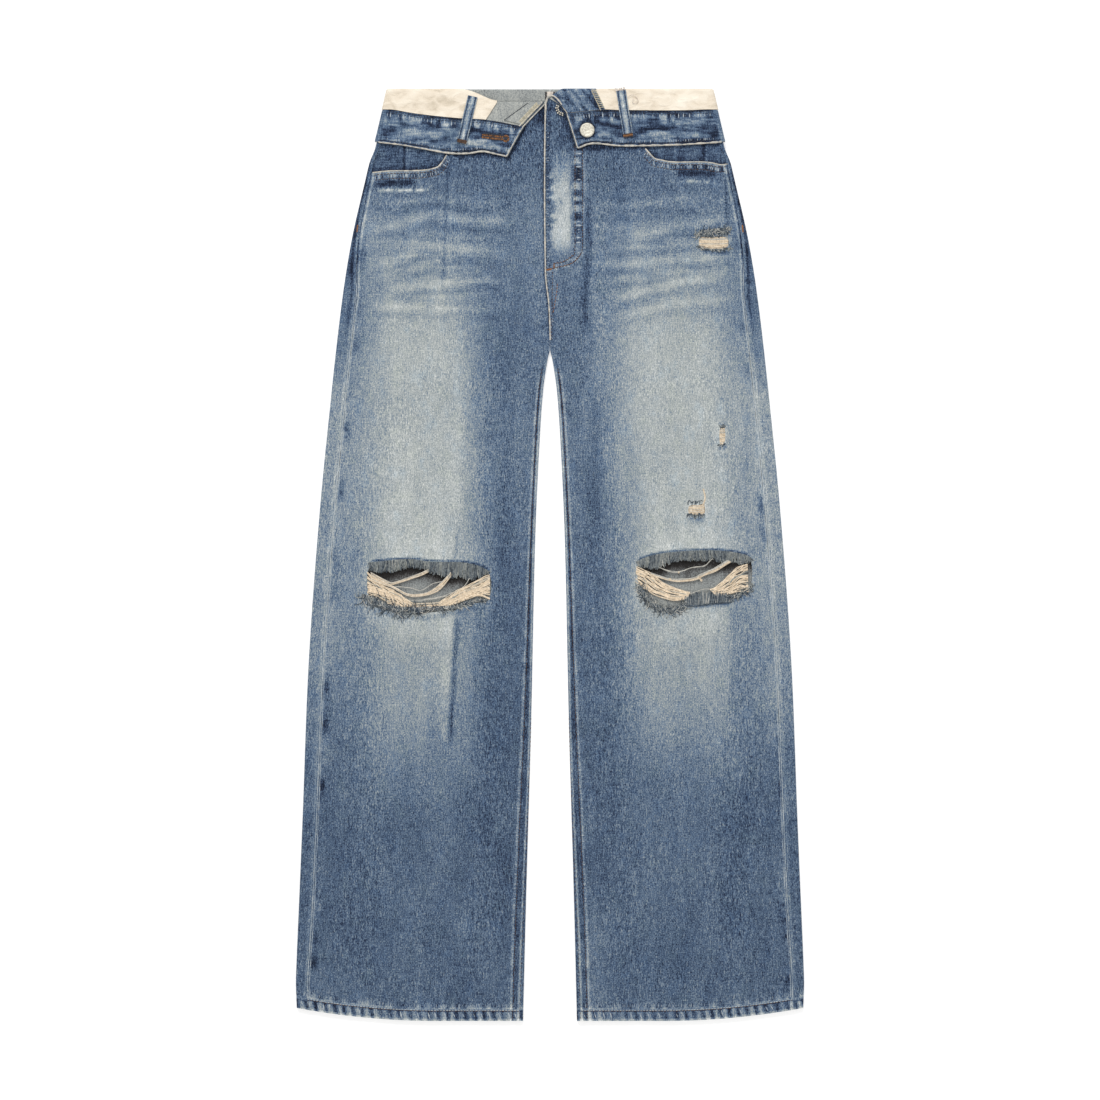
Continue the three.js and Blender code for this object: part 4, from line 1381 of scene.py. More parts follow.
def make_back_pocket(side, finishes):
    corners = [(side.sign * x, y) for x, y in BACK_POCKET]
    made = flat_plate(f"back_pocket_{side.name}_patch", corners, finishes, 0.0, 128)
    return piece(made, "denim", f"back_pocket_{side.name}")


# ---- waistband

# Half the waistband's columns: in front, round the side, and behind
FRONT_STEPS, TURN, BEHIND = 120, 12, 40


def band_half(side, v):
    """Places on the waistband from its front end, round the side, to the centre back; v runs across it."""
    out = []
    for column in range(FRONT_STEPS + TURN + BEHIND + 1):
        share = max(FRONT_STEPS - column, 0) / FRONT_STEPS
        back = max(column - FRONT_STEPS - TURN, 0) / BEHIND
        plain = lerp(BAND_SEAM_Y, lerp(474, BAND_FREE_Y, min(back * 3, 1)), v)
        x = lerp(side_centre(plain), side.end_x(v), share)
        y = plain
        if column < FRONT_STEPS:
            y = side.across_band(side.sign * x, v)
        quarter = quarter_at(y)
        s = lerp(quarter, -quarter, (column - FRONT_STEPS) / TURN)
        if column < FRONT_STEPS:
            s = reach(y, x)
        if back > 0:
            s = -lerp(quarter, reach(y, 0), back)
        out.append(section(y, s, TURNED))
    grid = np.array(out)
    grid[..., 0] *= side.sign
    return grid


# Creases across the waistband near its ends: where they run, how wide, how high; the height is also painted
# into the band's colour as shade and highlight
BAND_CREASES = {
    -1: [
        ([(-70, 484), (-86, 487), (-104, 484)], 2.6, -0.9), ([(-66, 478), (-84, 472), (-104, 476)], 3.0, 0.8),
        ([(-40, 486), (-56, 492), (-72, 489)], 2.4, 0.7), ([(-52, 463), (-66, 470), (-78, 478)], 3.0, 0.8),
        ([(-60, 466), (-76, 464), (-92, 467)], 2.4, -0.7),
        ([(-118, 478), (-150, 484), (-186, 486)], 3.2, 0.5)],
    1: [
        ([(60, 500), (72, 492), (84, 488)], 2.4, -0.8), ([(52, 502), (66, 497), (80, 499)], 2.6, 0.7),
        ([(94, 484), (118, 489), (150, 488)], 2.6, -0.8), ([(94, 479), (126, 483), (188, 482)], 2.8, 0.8),
        ([(50, 476), (60, 484), (72, 482)], 2.6, 0.7), ([(120, 496), (156, 495), (188, 497)], 3.0, 0.5)],
}


def band_across(side, x, y):
    """0 at the waistband's seam edge and 1 at its free edge."""
    top, bottom = side.band_seam(x), side.band_free(x)
    return (top - y) / (top - bottom)


def band_relief(side, x, y, v):
    lift = 0.30 * noise(x / 14, y / 7, 111) + 0.2 * noise(x / 6, y / 12, 112)
    lift += 0.4 * hump(v - 0.22, 0.13) * noise(x / 6.2, 0, 115)
    lift += 0.15 * hump(v - 0.86, 0.1) * noise(x / 2.6, 0, 116)
    for points, width, height in BAND_CREASES[side.sign]:
        lift += height * band(x, y, points, width, 0.3)
    lift -= 0.35 * hump(v - 0.05, 0.03) + 0.3 * hump(v - 0.93, 0.03)
    end = np.clip((side.sign * x - side.end_x(v)) / 6, 0, 1)
    return lift + 0.5 * (1 - end) ** 2


# How light the waistband's front is, in levels: worn streaks and ridges, with painted shade and highlights
# where noted.
def band_light(side, x, y, v):
    level = 80 - 4 * side.sign + 31 * noise(x / 12, y / 2.2, 113) + 20 * noise(x / 7, y / 4, 114)
    level += 22 * noise(x / 26, y / 11, 118)
    level += 56 * hump(v - 0.2, 0.12) * np.clip(1.5 * noise(x / 4.4, 0, 115), -0.5, 1)
    level += hump(v - 0.84, 0.09) * (30 * noise(x / 2.4, y / 6, 116) + 16)
    # Painted shade along the stitch lines near both edges.
    level -= 36 * hump(v - 0.03, 0.05) + 44 * hump(v - 0.945, 0.026)
    # Painted shade and highlight following each crease's height.
    for points, width, height in BAND_CREASES[side.sign]:
        level += 62 * height * band(x, y, points, width, 0.3)
    if side.sign > 0:
        # A painted shadow round the button.
        round_button = np.hypot(x - BUTTON_X, y - BUTTON_Y + 0.6) - 8.6
        level -= 44 * hump(round_button, 1.6)
    else:
        # Painted shade in the rumple along the buttonhole.
        level -= 50 * band(x, y, [(-80, 482.5), (-62, 481.5), (-44, 480)], 2.6, 0.1)
    return level + 40 * hump((side.sign * x - side.end_x(v)) / 6, 0.3)


def band_face(side):
    """The height of the waistband's face at any place on its front half."""

    def height(x, y):
        base = front_level(y) + TURNED + DOUBLE / 2
        return base + band_relief(side, x, y, band_across(side, x, y))

    return height


def make_waistband(finishes):
    across = np.concatenate([[0, 0.018], np.linspace(0.04, 0.96, 44), [0.982, 1]])
    halves, lights = [], []
    for side in SIDES:
        grid = np.stack([band_half(side, v) for v in across], axis=1)
        x, y = grid[..., 0], grid[..., 1]
        in_front = np.arange(len(grid))[:, None] < FRONT_STEPS
        near_edge = ease(0, 0.07, np.minimum(across, 1 - across) + 0.02)
        v = across + 0 * x
        grid[..., 2] += band_relief(side, x, y, v) * in_front * near_edge
        plain = 100 + 20 * noise(x / 9, y / 6, 117)
        halves.append(grid)
        lights.append(np.where(in_front, band_light(side, x, y, v), plain))
    points = np.concatenate([halves[0], halves[1][::-1][1:]])
    light = np.concatenate([lights[0], lights[1][::-1][1:]])
    thick = 1.9 + 0.5 * ease(0, 0.06, np.minimum(across, 1 - across)) * np.ones(light.shape)
    normals = normals_of(points, (20, 12, 1))
    made = cloth("waistband_strip", points, normals, thick, finishes, wear_and_shade_of(light, 0.05, 0.85))
    return piece(made, "waist_denim", "waistband"), points


# ---- belt loops, fly shield, button, zip slider

LOOP_WIDTH = 11.0
LOOP_Z = front_level(500) + TURNED + DENIM / 2 + LINING + 2 * GAP
# Where the loops are: x of each behind, and the top and bottom of each in front
BACK_LOOPS = {"left": -112.0, "centre": 0.0, "right": 112.0}
FRONT_LOOPS = {"left": ((-88.6, 525.6), (-101.2, 472.7)), "right": ((81, 533), (89.7, 479.6))}


def make_loop(name, top, bottom, z, bow, finishes):
    """A belt loop: a narrow strip with raised edges, bowed up between its two ends."""
    top, bottom = np.array(top, float), np.array(bottom, float)
    along = bottom - top
    side = np.array([-along[1], along[0]]) / np.linalg.norm(along) * LOOP_WIDTH / 2
    t = np.linspace(0, 1, 40)[:, None, None]
    u = np.linspace(-1, 1, 15)[None, :, None]
    wobble = 0.03 * noise(t * 6, 0, 151)
    flat = top + along * t + side * (u + wobble)
    x, y = flat[..., 0], flat[..., 1]
    u, t = u[..., 0] + 0 * x, t[..., 0] + 0 * x
    lift = 0.25 * hump(np.abs(u) - 0.82, 0.2) + bow * np.sin(np.pi * t) + 0.2 * noise(x / 4, y / 7, 152)
    in_front = z > 0
    points = np.stack([x, y, z + DENIM / 2 + in_front * lift], -1)
    light = 98 + 66 * hump(u, 0.46) * (0.9 + 0.4 * noise(u * 3, y / 5, 153)) + 20 * noise(x / 3, y / 5, 154)
    light -= 44 * hump(np.abs(u) - 0.7, 0.14) - 62 * hump(np.abs(u) - 0.95, 0.12)
    light -= 26 * hump(t - 1, 0.06) + 20 * hump(t, 0.05)
    made = cloth(
        name, points, normals_of(points, (20, 7, 1 if in_front else -1)), DENIM, finishes,
        wear_and_shade_of(light, 0.05, 0.8))
    return points, made


def lathe(name, profile, centre, finish, segments=72):
    profile = np.array(profile, float)
    angle = np.arange(segments) * 2 * np.pi / segments
    rings = np.stack([
        profile[:, 0, None] * np.cos(angle), profile[:, 0, None] * np.sin(angle),
        profile[:, 1, None] + 0 * angle], -1) + np.array(centre)
    k = np.arange(segments)
    turn = (k + 1) % segments
    faces = []
    for i in range(len(profile) - 1):
        a, b = i * segments, (i + 1) * segments
        faces += np.stack([a + k, a + turn, b + turn, b + k], -1).tolist()
    faces += [k[::-1].tolist(), ((len(profile) - 1) * segments + k).tolist()]
    return make_mesh(name, rings.reshape(-1, 3), faces, [finish])


def make_button(metal):
    """A plain shank button: rim, groove, low dome and a shallow dimple."""
    base = front_level(BUTTON_Y) + TURNED + DOUBLE / 2 + GAP
    profile = [
        (0.01, 0), (7.4, 0), (8.1, 0.4), (8.4, 1.1), (8.3, 1.9), (7.9, 2.4), (7.3, 2.7), (6.7, 2.75),
        (6.1, 2.65), (5.4, 2.5), (4.6, 2.45), (3.6, 2.5), (2.6, 2.5), (2.0, 2.4), (1.6, 2.3), (1.0, 2.2),
        (0.01, 2.2)]
    return piece(lathe("button_head", profile, (BUTTON_X, BUTTON_Y, base), metal), "metal", "button")


def make_zip_slider(metal, dark):
    """The curved end of the zip's slider, studded with teeth, in front of the turned edge."""
    angle = np.radians(np.linspace(152, 278, 30))
    centre = np.array([SLIDER_X, SLIDER_Y, front_level(500) + DENIM / 2 + GAP + 1.2])
    arc = centre + 6.8 * np.stack([np.cos(angle), np.sin(angle), 0 * angle], -1)
    ring = Threads(metal, dark)
    ring.add(arc, 1.7, 1, sides=12, flat=0.45)
    for k, spot in enumerate(arc[1::5]):
        out = unit(spot - centre)
        for way in (-1.1, 1.1):
            place = spot + out * (way + 0.3 * (k % 2)) + (0, 0, 0.8)
            ring.add([place - 0.8 * out, place, place + 0.8 * out], [0.6, 1.0, 0.6], 0, sides=8)
    return piece(ring.make("zip_slider_ring"), "metal", "zip_slider")


def make_fly_shield(finishes):
    """The edge of the fly shield, showing from under the left front's turned end."""
    base = LOOP_Z - LINING - GAP
    made = flat_plate(
        "fly_shield_strip", [(-25, 518), (-11, 518), (-31.5, 493.4), (-52, 498.6)], finishes, base, 78)
    return piece(made, "waist_denim", "fly_shield"), base + DENIM


# ---- rips

def strand(path, sway, seed, step=2.0):
    """A thread laid along given points: a smooth path that wanders a little."""
    line = curve(path, step)
    run = np.arange(len(line)) * step
    ends = np.sin(np.pi * np.linspace(0, 1, len(line)))
    line = line.copy()
    line[:, 0] += sway * noise(run / 7, 0, seed) * ends
    line[:, 1] += sway * noise(run / 6, 3, seed + 1) * ends
    return line


def one_of(slots, chance):
    """One of the slots, by a chance from -1 to 1."""
    return slots[int(abs(chance) * len(slots) * 0.999)]


def fray_of(tone, *limits):
    """The slot for a tone: dark, grey, beige or pale, with the limits between them."""
    return (DARK, GREY, BEIGE, PALE)[int(np.searchsorted(limits, tone, side="right"))]


def bundle(threads, upper, lower, count, high, low, radius, slots, seed):
    """Weft threads between two lines, in groups with gaps, sagging from high to low in the middle."""
    groups = 5
    t = np.linspace(0, 1, 22)
    ends = [curve(upper, 1.5), curve(lower, 1.5)]
    a, b = (sampled(line, np.linspace(0, 1, len(line)), t) for line in ends)
    for k in range(count):
        place = (k + 0.5 + 0.42 * noise(k * 1.7, 0, seed)) / count + 0.07 * noise(t * 5, k * 0.6, seed + 1)
        phase = groups * place + 1.6 * noise(t * 2.2, 0, seed + 6)
        share = np.clip(place - 0.97 / (2 * np.pi * groups) * np.sin(2 * np.pi * phase), 0, 1)
        line = lerp(a, b, share[:, None])
        line[:, 1] += 0.6 * noise(t * 8, k * 3.3, seed + 2)
        z = lerp(high, low, np.sin(np.pi * t)) + 0.45 * noise(t * 4, k * 2.1, seed + 3)
        size = radius * (1 + 0.3 * noise(t * 9, k, seed + 5))
        threads.add(np.column_stack([line, z]), size, one_of(slots, noise(k * 5.1, 0, seed + 4)))


def loose_threads(threads, paths, z, radius):
    """Single pale threads, each with its seed, at height z."""
    for path, seed in paths:
        line = strand(path, 0.6, seed)
        threads.add(np.column_stack([line, np.full(len(line), z)]), radius, PALE)


def hanging_fringe(threads, side, seed):
    """The warp's cut ends along the upper lip of a knee rip."""
    face = front_face(side)
    lip = curve(side.lip, 0.5)
    count = 620
    for k in range(count):
        place = (k + 0.5 + 0.5 * noise(k * 1.3, 0, seed)) / count
        x0, y0 = lip[int(place * (len(lip) - 1))]
        end = side.lip_low(x0) + 2.8 * noise(x0 / 1.7, k, seed + 1) + 2.2 * noise(x0 / 11, 1, seed + 6)
        t = np.linspace(0, 1, 7)
        x = x0 + 4.4 * t * noise(x0 / 7, k % 3, seed + 2) + 1.2 * t * noise(t * 4, k, seed + 3)
        y = lerp(y0 - 0.6, end, t)
        z = face(x, y) + 0.3 + 0.8 * np.abs(noise(x0 / 1.5, k, seed + 4)) - 1.0 * t ** 3
        tone = noise(k * 1.9, 0.3, seed + 5) + 0.3 * noise(x0 / 9, 0, seed + 7)
        threads.add(np.stack([x, y, z], -1), 0.34, fray_of(tone, -0.42, 0.36, 0.86))


def curled_frays(threads, side, path, count, length, seed):
    """Cut ends that curl over the cloth below a rip."""
    face = front_face(side)
    line = curve(path, 0.5)
    for k in range(count):
        x0, y0 = line[int((k + 0.5) / count * (len(line) - 1))]
        t = np.linspace(0, 1, 9)
        reach_down = length * (0.55 + 0.45 * noise(k * 2.3, 0, seed))
        turn = 1.8 * t * 1.6 * noise(k * 1.1, 1, seed + 1)
        x = x0 + reach_down * 0.75 * np.sin(turn) * t + 0.8 * noise(t * 4, k, seed + 2)
        y = y0 + 1.5 - reach_down * t * np.cos(turn * 0.8)
        z = face(x, y) + 0.35 + 0.9 * np.abs(noise(t * 3, k, seed + 3))
        slot = fray_of(noise(k * 3.7, 2, seed + 4), -0.1, 0.25, 0.6)
        threads.add(np.stack([x, y, z], -1), 0.48 * (1 - 0.45 * t), slot)


def weft_patch(threads, left, right, bottom, top, middle, seed):
    """Weft threads left across a small hole in the right leg, a little sunk at its middle."""
    z = float(front_face(RIGHT)(*middle)) - 0.7
    for k, y0 in enumerate(np.arange(bottom, top, 0.8)):
        t = np.linspace(0, 1, 7)
        y = y0 - 0.8 * np.sin(np.pi * t) + 0.3 * noise(t * 4, k, seed)
        x = lerp(left - 1.2, right + 1.2, t)
        slot = one_of([CREAM, CREAM, PALE], noise(k * 4.3, 1, seed + 1))
        threads.add(np.stack([x, y, z + 0.3 * noise(t * 3, k * 2, seed + 2)], -1), 0.46, slot)


def short_fringe(threads, left, right, bottom, top, seed, step):
    """Short cut warp ends over or under a small hole in the right leg."""
    face = front_face(RIGHT)
    for k, x0 in enumerate(np.arange(left, right, step)):
        t = np.linspace(0, 1, 4)
        x = x0 + 2.6 * t * noise(k * 0.4, 0, seed)
        y = lerp(top, bottom, t * (0.7 + 0.3 * noise(k * 1.7, 0, seed + 1)))
        y += 1.6 * noise(k * 0.35, 0, seed + 3)
        slot = fray_of(noise(k * 2.9, 0, seed + 2), 0.1, 0.6)
        threads.add(np.stack([x, y, face(x, y) + 0.3 - 0.5 * t * t], -1), 0.32, slot)


WEFT = [PEACH, PEACH, CREAM, PEACH, BEIGE]


def left_rip(threads):
    for facts in [
            ([(-210, -19), (-197, -31), (-186, -37), (-172, -45), (-156, -57)],
             [(-210, -47), (-201, -47), (-194, -51), (-186, -57), (-176, -62)],
             24, 4.2, 3.4, 0.52, WEFT, 201),
            ([(-209, -35), (-178, -44), (-160, -55), (-139, -56), (-120, -53), (-98, -41), (-69, -25)],
             [(-209, -42), (-180, -50), (-160, -62), (-139, -62), (-118, -59), (-96, -51), (-69, -40)],
             15, 4.4, 3.2, 0.5, WEFT, 211),
            ([(-69, -21), (-86, -31), (-104, -39), (-116, -47), (-128, -55)],
             [(-69, -53), (-86, -48), (-98, -51), (-115, -58), (-128, -61)],
             26, 4.3, 3.5, 0.52, WEFT, 221),
            ([(-206, -20), (-185, -31), (-178, -31), (-160, -25), (-146, -19), (-135, -12)],
             [(-206, -24), (-186, -34), (-177, -33), (-160, -28), (-144, -22), (-131, -14)],
             6, 4.6, 4.0, 0.42, [CREAM, PALE], 231),
            ([(-206, -23), (-181, -35), (-164, -44), (-153, -45), (-139, -42), (-126, -33), (-114, -20)],
             [(-206, -29), (-182, -38), (-165, -47), (-152, -48), (-137, -45), (-124, -37), (-112, -22)],
             8, 4.4, 3.9, 0.42, [CREAM, PEACH, PALE], 241)]:
        bundle(threads, *facts)
    loose_threads(threads, [
        ([(-178, -36), (-160, -38), (-148, -40), (-135, -33), (-122, -30)], 251),
        ([(-146, -51), (-126, -48), (-114, -44), (-100, -37), (-92, -26)], 253),
        ([(-168, -52), (-150, -52), (-132, -50), (-118, -47)], 255)], 3.6, 0.42)
    hanging_fringe(threads, LEFT, 261)
    for facts in [
            ([(-216, -46), (-203, -50), (-186, -58), (-167, -61), (-148, -62)], 180, 21, 271),
            ([(-150, -61), (-126, -60), (-110, -59), (-98, -56), (-90, -53)], 110, 12, 281),
            ([(-100, -55), (-88, -53), (-72, -52)], 60, 6.5, 291)]:
        curled_frays(threads, LEFT, *facts)


def right_rip(threads):
    for facts in [
            ([(99, -13), (115, -20), (132, -33), (146, -39), (161, -43)],
             [(98, -31), (109, -39), (123, -47), (141, -52), (157, -50)],
             30, 4.2, 3.4, 0.54, WEFT, 301),
            ([(227, -10), (216, -13), (206, -23), (194, -34), (183, -39)],
             [(228, -42), (216, -42), (207, -45), (198, -46), (190, -46)],
             30, 4.2, 3.6, 0.54, WEFT, 311),
            ([(116, -20), (139, -27), (155, -27), (167, -25), (174, -21), (190, -14), (204, -6)],
             [(115, -23), (138, -30), (155, -30), (168, -28), (176, -24), (192, -18), (208, -8)],
             7, 4.5, 4.1, 0.42, [CREAM, PEACH, PALE], 321)]:
        bundle(threads, *facts)
    loose_threads(threads, [
        ([(123, -13), (137, -19), (148, -20), (160, -15), (176, -13), (187, -4)], 331),
        ([(125, -14), (137, -18), (148, -19), (162, -15), (178, -12), (184, -6)], 333),
        ([(160, -45), (170, -41), (176, -39), (184, -39)], 335)], 4.0, 0.4)
    for x, y, size in [(138, -28, 1.5), (172, -26, 2.3), (174, -29, 1.4), (148, -20, 1.0)]:
        turn = np.linspace(0, 4 * np.pi, 26)
        ring = size * (0.55 + 0.3 * np.sin(turn * 0.5))
        z = 4.4 + 0.3 * np.sin(turn * 0.7)
        threads.add(np.stack([x + ring * np.cos(turn), y + ring * np.sin(turn), z], -1), 0.42, CREAM)
    hanging_fringe(threads, RIGHT, 341)
    for facts in [
            ([(102, -34), (109, -46), (118, -55), (130, -61), (146, -61), (157, -55)], 280, 15, 351),
            ([(206, -47), (214, -47), (224, -42), (233, -33)], 80, 11, 361)]:
        curled_frays(threads, RIGHT, *facts)
    flap_frays(threads)


def flap_frays(threads):
    """The folded-up flap at the bottom of the right rip: short upright ends over a blue fold."""
    face = front_face(RIGHT)
    count = 240
    for k in range(count):
        x0 = lerp(155, 209, (k + 0.5) / count)
        low = lerp(-57.5, -53.5, (x0 - 155) / 54)
        high = -41 - 6 * hump(x0 - 156, 8) - 4 * hump(x0 - 208, 10) + 1.5 * noise(x0 / 3, 0, 371)
        t = np.linspace(0, 1, 5)
        x = x0 + 3.2 * t * noise(x0 / 4, k % 2, 372)
        y = lerp(low, lerp(low, high, 0.75 + 0.25 * noise(k * 1.9, 0, 373)), t)
        z = face(x, y) + 0.5 + 0.4 * np.abs(noise(k * 2.1, 0, 374)) - 0.6 * t
        tone = noise(k * 1.7, 0.3, 375) + 0.3 * noise(x0 / 6, 0, 377)
        threads.add(np.stack([x, y, z], -1), 0.36, fray_of(tone, -0.35, 0.5, 0.5))
    line = curve([(154, -58.5), (167, -58.5), (188, -56), (209, -54)], 1.5)
    threads.add(lie_on(line, face, 0.5), 0.75 + 0.25 * noise(np.arange(len(line)) / 2, 0, 376), DARK, sides=6)


def small_holes(threads):
    """The holes in the right leg: at the hip, on the thigh and above the knee."""
    weft_patch(threads, 172.5, 203.5, 352.5, 366, (188, 359), 401)
    curled_frays(threads, RIGHT, [(169, 367), (176, 371), (188, 373), (200, 374), (207, 375)], 190, 11, 411)
    short_fringe(threads, 171, 204, 364, 370, 415, 0.6)
    curled_frays(threads, RIGHT, [(170, 354), (178, 351), (192, 350), (202, 351), (208, 352)], 100, 5.5, 421)
    weft_patch(threads, 195.5, 200.5, 128, 147, (198, 137), 431)
    short_fringe(threads, 194, 202, 145, 149, 441, 0.6)
    short_fringe(threads, 194, 202, 124, 128, 445, 0.6)
    weft_patch(threads, 160, 176.5, 47.5, 58, (168, 53), 451)
    short_fringe(threads, 158, 178, 41, 47.5, 461, 0.5)
    short_fringe(threads, 158, 175, 57, 62, 465, 0.8)
    tail = strand([(176, 58), (178, 66), (176, 76)], 0.5, 471)
    threads.add(lie_on(tail, front_face(RIGHT), 0.4), 0.9, CREAM)


# ---- seams, piping and serging

def line_along(side, inset, low, high, step=6.0):
    """A line up the inner edge of a leg, inset from it."""
    y = np.arange(low, high, step)
    return np.column_stack([side.sign * (inner_edge(y) + inset(y)), y])


RIDGE_SHAPE = np.array([0.2, 0.8, 1, 0.8, 0.2])


def ridges(threads, line, height, pitch, length, radius, seed, lean=0.0, slot=WORN):
    """Worn ridges across a seam, between the puckers that its stitches leave."""
    path = curve(line, 0.5)
    along = unit(np.gradient(path, axis=0))
    across = np.stack([-along[:, 1], along[:, 0]], -1)
    t = np.linspace(-0.5, 0.5, 5)[:, None]
    at = pitch / 2
    while at < 0.5 * (len(path) - 1):
        k = int(2 * at)
        size = 0.75 + 0.5 * noise(at / 1.7, 0, seed)
        spot = path[k] + across[k] * t * length * size + along[k] * t * lean
        threads.add(lie_on(spot, height, -0.3 * radius), radius * size * RIDGE_SHAPE, slot)
        at += pitch * (1 + 0.45 * noise(at / 2.3, 1, seed + 1))


def side_seam_ridges(sewn, side, face):
    """The crisp double ridge down the side seam, with the dark line between."""
    y = np.arange(HEM_Y + 4, 335, 2.5)
    seam = side.sign * (outline(y) - seam_inset(y))
    for inset, radius, slot in ((0.75, 0.55, WORN), (1.9, 0.3, BLACKISH), (3.0, 0.5, WORN)):
        x = seam - side.sign * inset
        size = radius * (0.8 + 0.45 * noise(y / 9, inset, 641 + side.sign))
        sewn.add(lie_on(np.column_stack([x, y + hem_shift(x, y)]), face, -0.15), size, slot)


def hem_row(side, above):
    """A line across a leg's front, so far above its hem's edge."""
    x = side.sign * np.arange(inner_edge(HEM_Y) + 4, outline(HEM_Y) - 2, 5)
    return np.column_stack([x, HEM_Y + above + hem_lift(x)])


def front_sewing(side, finishes):
    face = front_face(side)
    sewn = Threads(*finishes)
    sewn.stitches(line_along(side, inseam_stitch, HEM_Y + 2, 222), face, BROWN, radius=0.42)
    inner_row = line_along(side, lambda y: inseam_fold(y) - 1.6, HEM_Y + 2, -180)
    sewn.stitches(inner_row, face, BROWN, 5.2, 2.6, 0.36)
    hem = hem_row(side, HEM_STITCH)
    sewn.stitches(hem, face, WORN, 3.4, 2.9, 0.5)
    sewn.stitches(hem - (0, 0.9), face, BROWN, 3.4, 2.8, 0.42)
    side_seam_ridges(sewn, side, face)
    line = mouth_line(side)
    for drop in (2.8, 8.4):
        sewn.stitches([(px - 0.3 * drop * side.sign, py - drop) for px, py in line], face, BROWN, radius=0.42)
    dropped = [(px - 1.6 * side.sign, py - 5.5) for px, py in line]
    ridges(sewn, dropped, face, 3.4, 5.0, 0.7, 601 + side.sign)
    ridges(sewn, dropped, face, 4.1, 5.0, 0.6, 603 + side.sign, slot=BLACKISH)
    ridges(sewn, hem_row(side, 17), face, 3.4, 5, 0.42, 605 + side.sign)
    ridges(sewn, hem_row(side, 6), face, 9.6, 8.5, 1.1, 609 + side.sign, -2.5)
    inseam = line_along(side, lambda y: inseam_stitch(y) + 2.2, HEM_Y + 18, 215)
    ridges(sewn, inseam, face, 5.5, 3.4, 0.55, 613)
    tack = side.sign * 221.5
    sewn.bartack((tack, 371), (tack - 0.8 * side.sign, 379), face, ORANGE, 1.8)
    if side.sign > 0:
        fly_sewing(sewn, face)
    return piece(sewn.make(f"front_{side.name}_stitching"), "denim")


def fly_sewing(sewn, face):
    for row in (FLY_INNER, FLY_OUTER):
        sewn.stitches(curve(row, 4), face, BROWN, radius=0.5)
        sewn.stitches(curve(row[2:], 3) + (0, 0.5), face, ORANGE, 3.8, 2.2, 0.32)
    y = np.arange(300, 508, 4)
    sewn.stitches(np.column_stack([fly_edge(y) + 1.9, y]), face, BLACKISH, 3.6, 2.7, 0.42)
    ridges(sewn, [(33, 470), (33, 352)], face, 5.2, 6.4, 1.2, 621)
    ridges(sewn, [(33, 352), (31, 342), (22, 337), (6, 333)], face, 2.8, 5, 0.75, 623)
    y = np.arange(262, 505, 6)
    ridges(sewn, np.column_stack([fly_edge(y) + 4.2, y]), face, 4.2, 3.2, 0.5, 625)
    sewn.stitches([(8.6, 312), (7.5, 300), (3.5, 277)], face, ORANGE, radius=0.38)
    sewn.stitches([(3.2, 326), (2.4, 290), (1.8, 246)], face, BROWN, radius=0.36)
    sewn.bartack((-4, 327.5), (2, 328.5), face, ORANGE, 1.8)
    sewn.bartack((4.6, 330), (4.6, 333.5), face, ORANGE, 1.2)


def bead(threads, line, radius, seed, slot=0):
    """Worn piping along a folded edge: a flattened roll, a little uneven."""
    run = np.arange(len(line))
    size = radius * (1 + 0.22 * noise(run / 2.5, 0, seed))
    threads.add(line, size, slot, sides=8, flat=0.75)


def edge_piping(fronts, strip, finishes):
    """Piping on the fly's edge, the pocket mouths, the turned ends and the waistband's edges."""
    pieces = []
    for front in fronts:
        side = front.side
        face = front_face(side)
        rolls = Threads(*finishes)
        mouth = curve(mouth_line(side), 1.5)
        bead(rolls, lie_on(mouth, face, -0.1), 0.75, 501 + side.sign)
        turned_end = front.points[front.flat_count + 2:, -1]
        if side.sign > 0:
            turned_end = turned_end[turned_end[:, 1] < 513]
        bead(rolls, turned_end, 0.95, 505 + side.sign)
        if side.sign < 0:
            bead(rolls, turned_end - (2.3, 0, -0.6), 1.0, 507, 1)
            bead(rolls, turned_end - (4.3, 0, -1.7), 0.8, 508)
        if side.sign > 0:
            y = np.arange(247, 512, 1.5)
            bead(rolls, lie_on(np.column_stack([fly_edge(y) + 0.6, y]), face, -0.2), 0.85, 509)
            turn = curve([*FLAP_TURN, tuple(turned_end[0, :2])], 1.0)
            t = np.linspace(0, 1, len(turn))
            low = float(face(*FLAP_TURN[0])) + 0.2
            rise = lerp(low, turned_end[0, 2] + 0.3, t) + 2.3 * np.sin(np.pi * t) ** 0.5
            bead(rolls, np.column_stack([turn, rise]), 0.95, 510)
        pieces.append(piece(rolls.make(f"front_{side.name}_piping"), "denim"))
    rolls = Threads(*finishes)
    in_front = FRONT_STEPS + 1
    for k, (edge, lift) in enumerate([
            (strip[:in_front, -1], (0, 0.2, 0.3)), (strip[-in_front:, -1], (0, 0.2, 0.3)),
            (strip[0], (-0.2, 0, 0.2)), (strip[-1], (0.2, 0, 0.2))]):
        bead(rolls, edge + lift, 1.15, 511 + k)
        bead(rolls, edge + (-8 * lift[0], 7 * lift[1], 0.55), 0.45, 515 + k, 1)
    beside_button = strip[-46:-3, 0]
    bead(rolls, beside_button + (0, 0.1, 0.3), 0.7, 519)
    pieces.append(piece(rolls.make("waistband_piping"), "waist_denim"))
    return pieces


def centre_back_seam(finishes):
    """The felled seam down the centre back, seen from inside between the turned ends."""
    sewn = Threads(*finishes)

    def height(x, y):
        return back_level(y) + DENIM / 2 + 0.2 + 0 * x

    sewn.add(lie_on([(0.4, y) for y in np.arange(512, 533, 2.0)], height), 3.6, WHITISH, sides=8, flat=0.12)
    for x in (-4.4, 4.8):
        sewn.stitches([(x, 508), (x, 533)], height, BROWN, 3.0, 2.6, 0.55, 0.5)
        sewn.add(lie_on([(x - 0.9, y) for y in np.arange(508, 533, 2.0)], height), 0.35, BLACKISH)
    return piece(sewn.make("centre_back_stitching"), "denim")


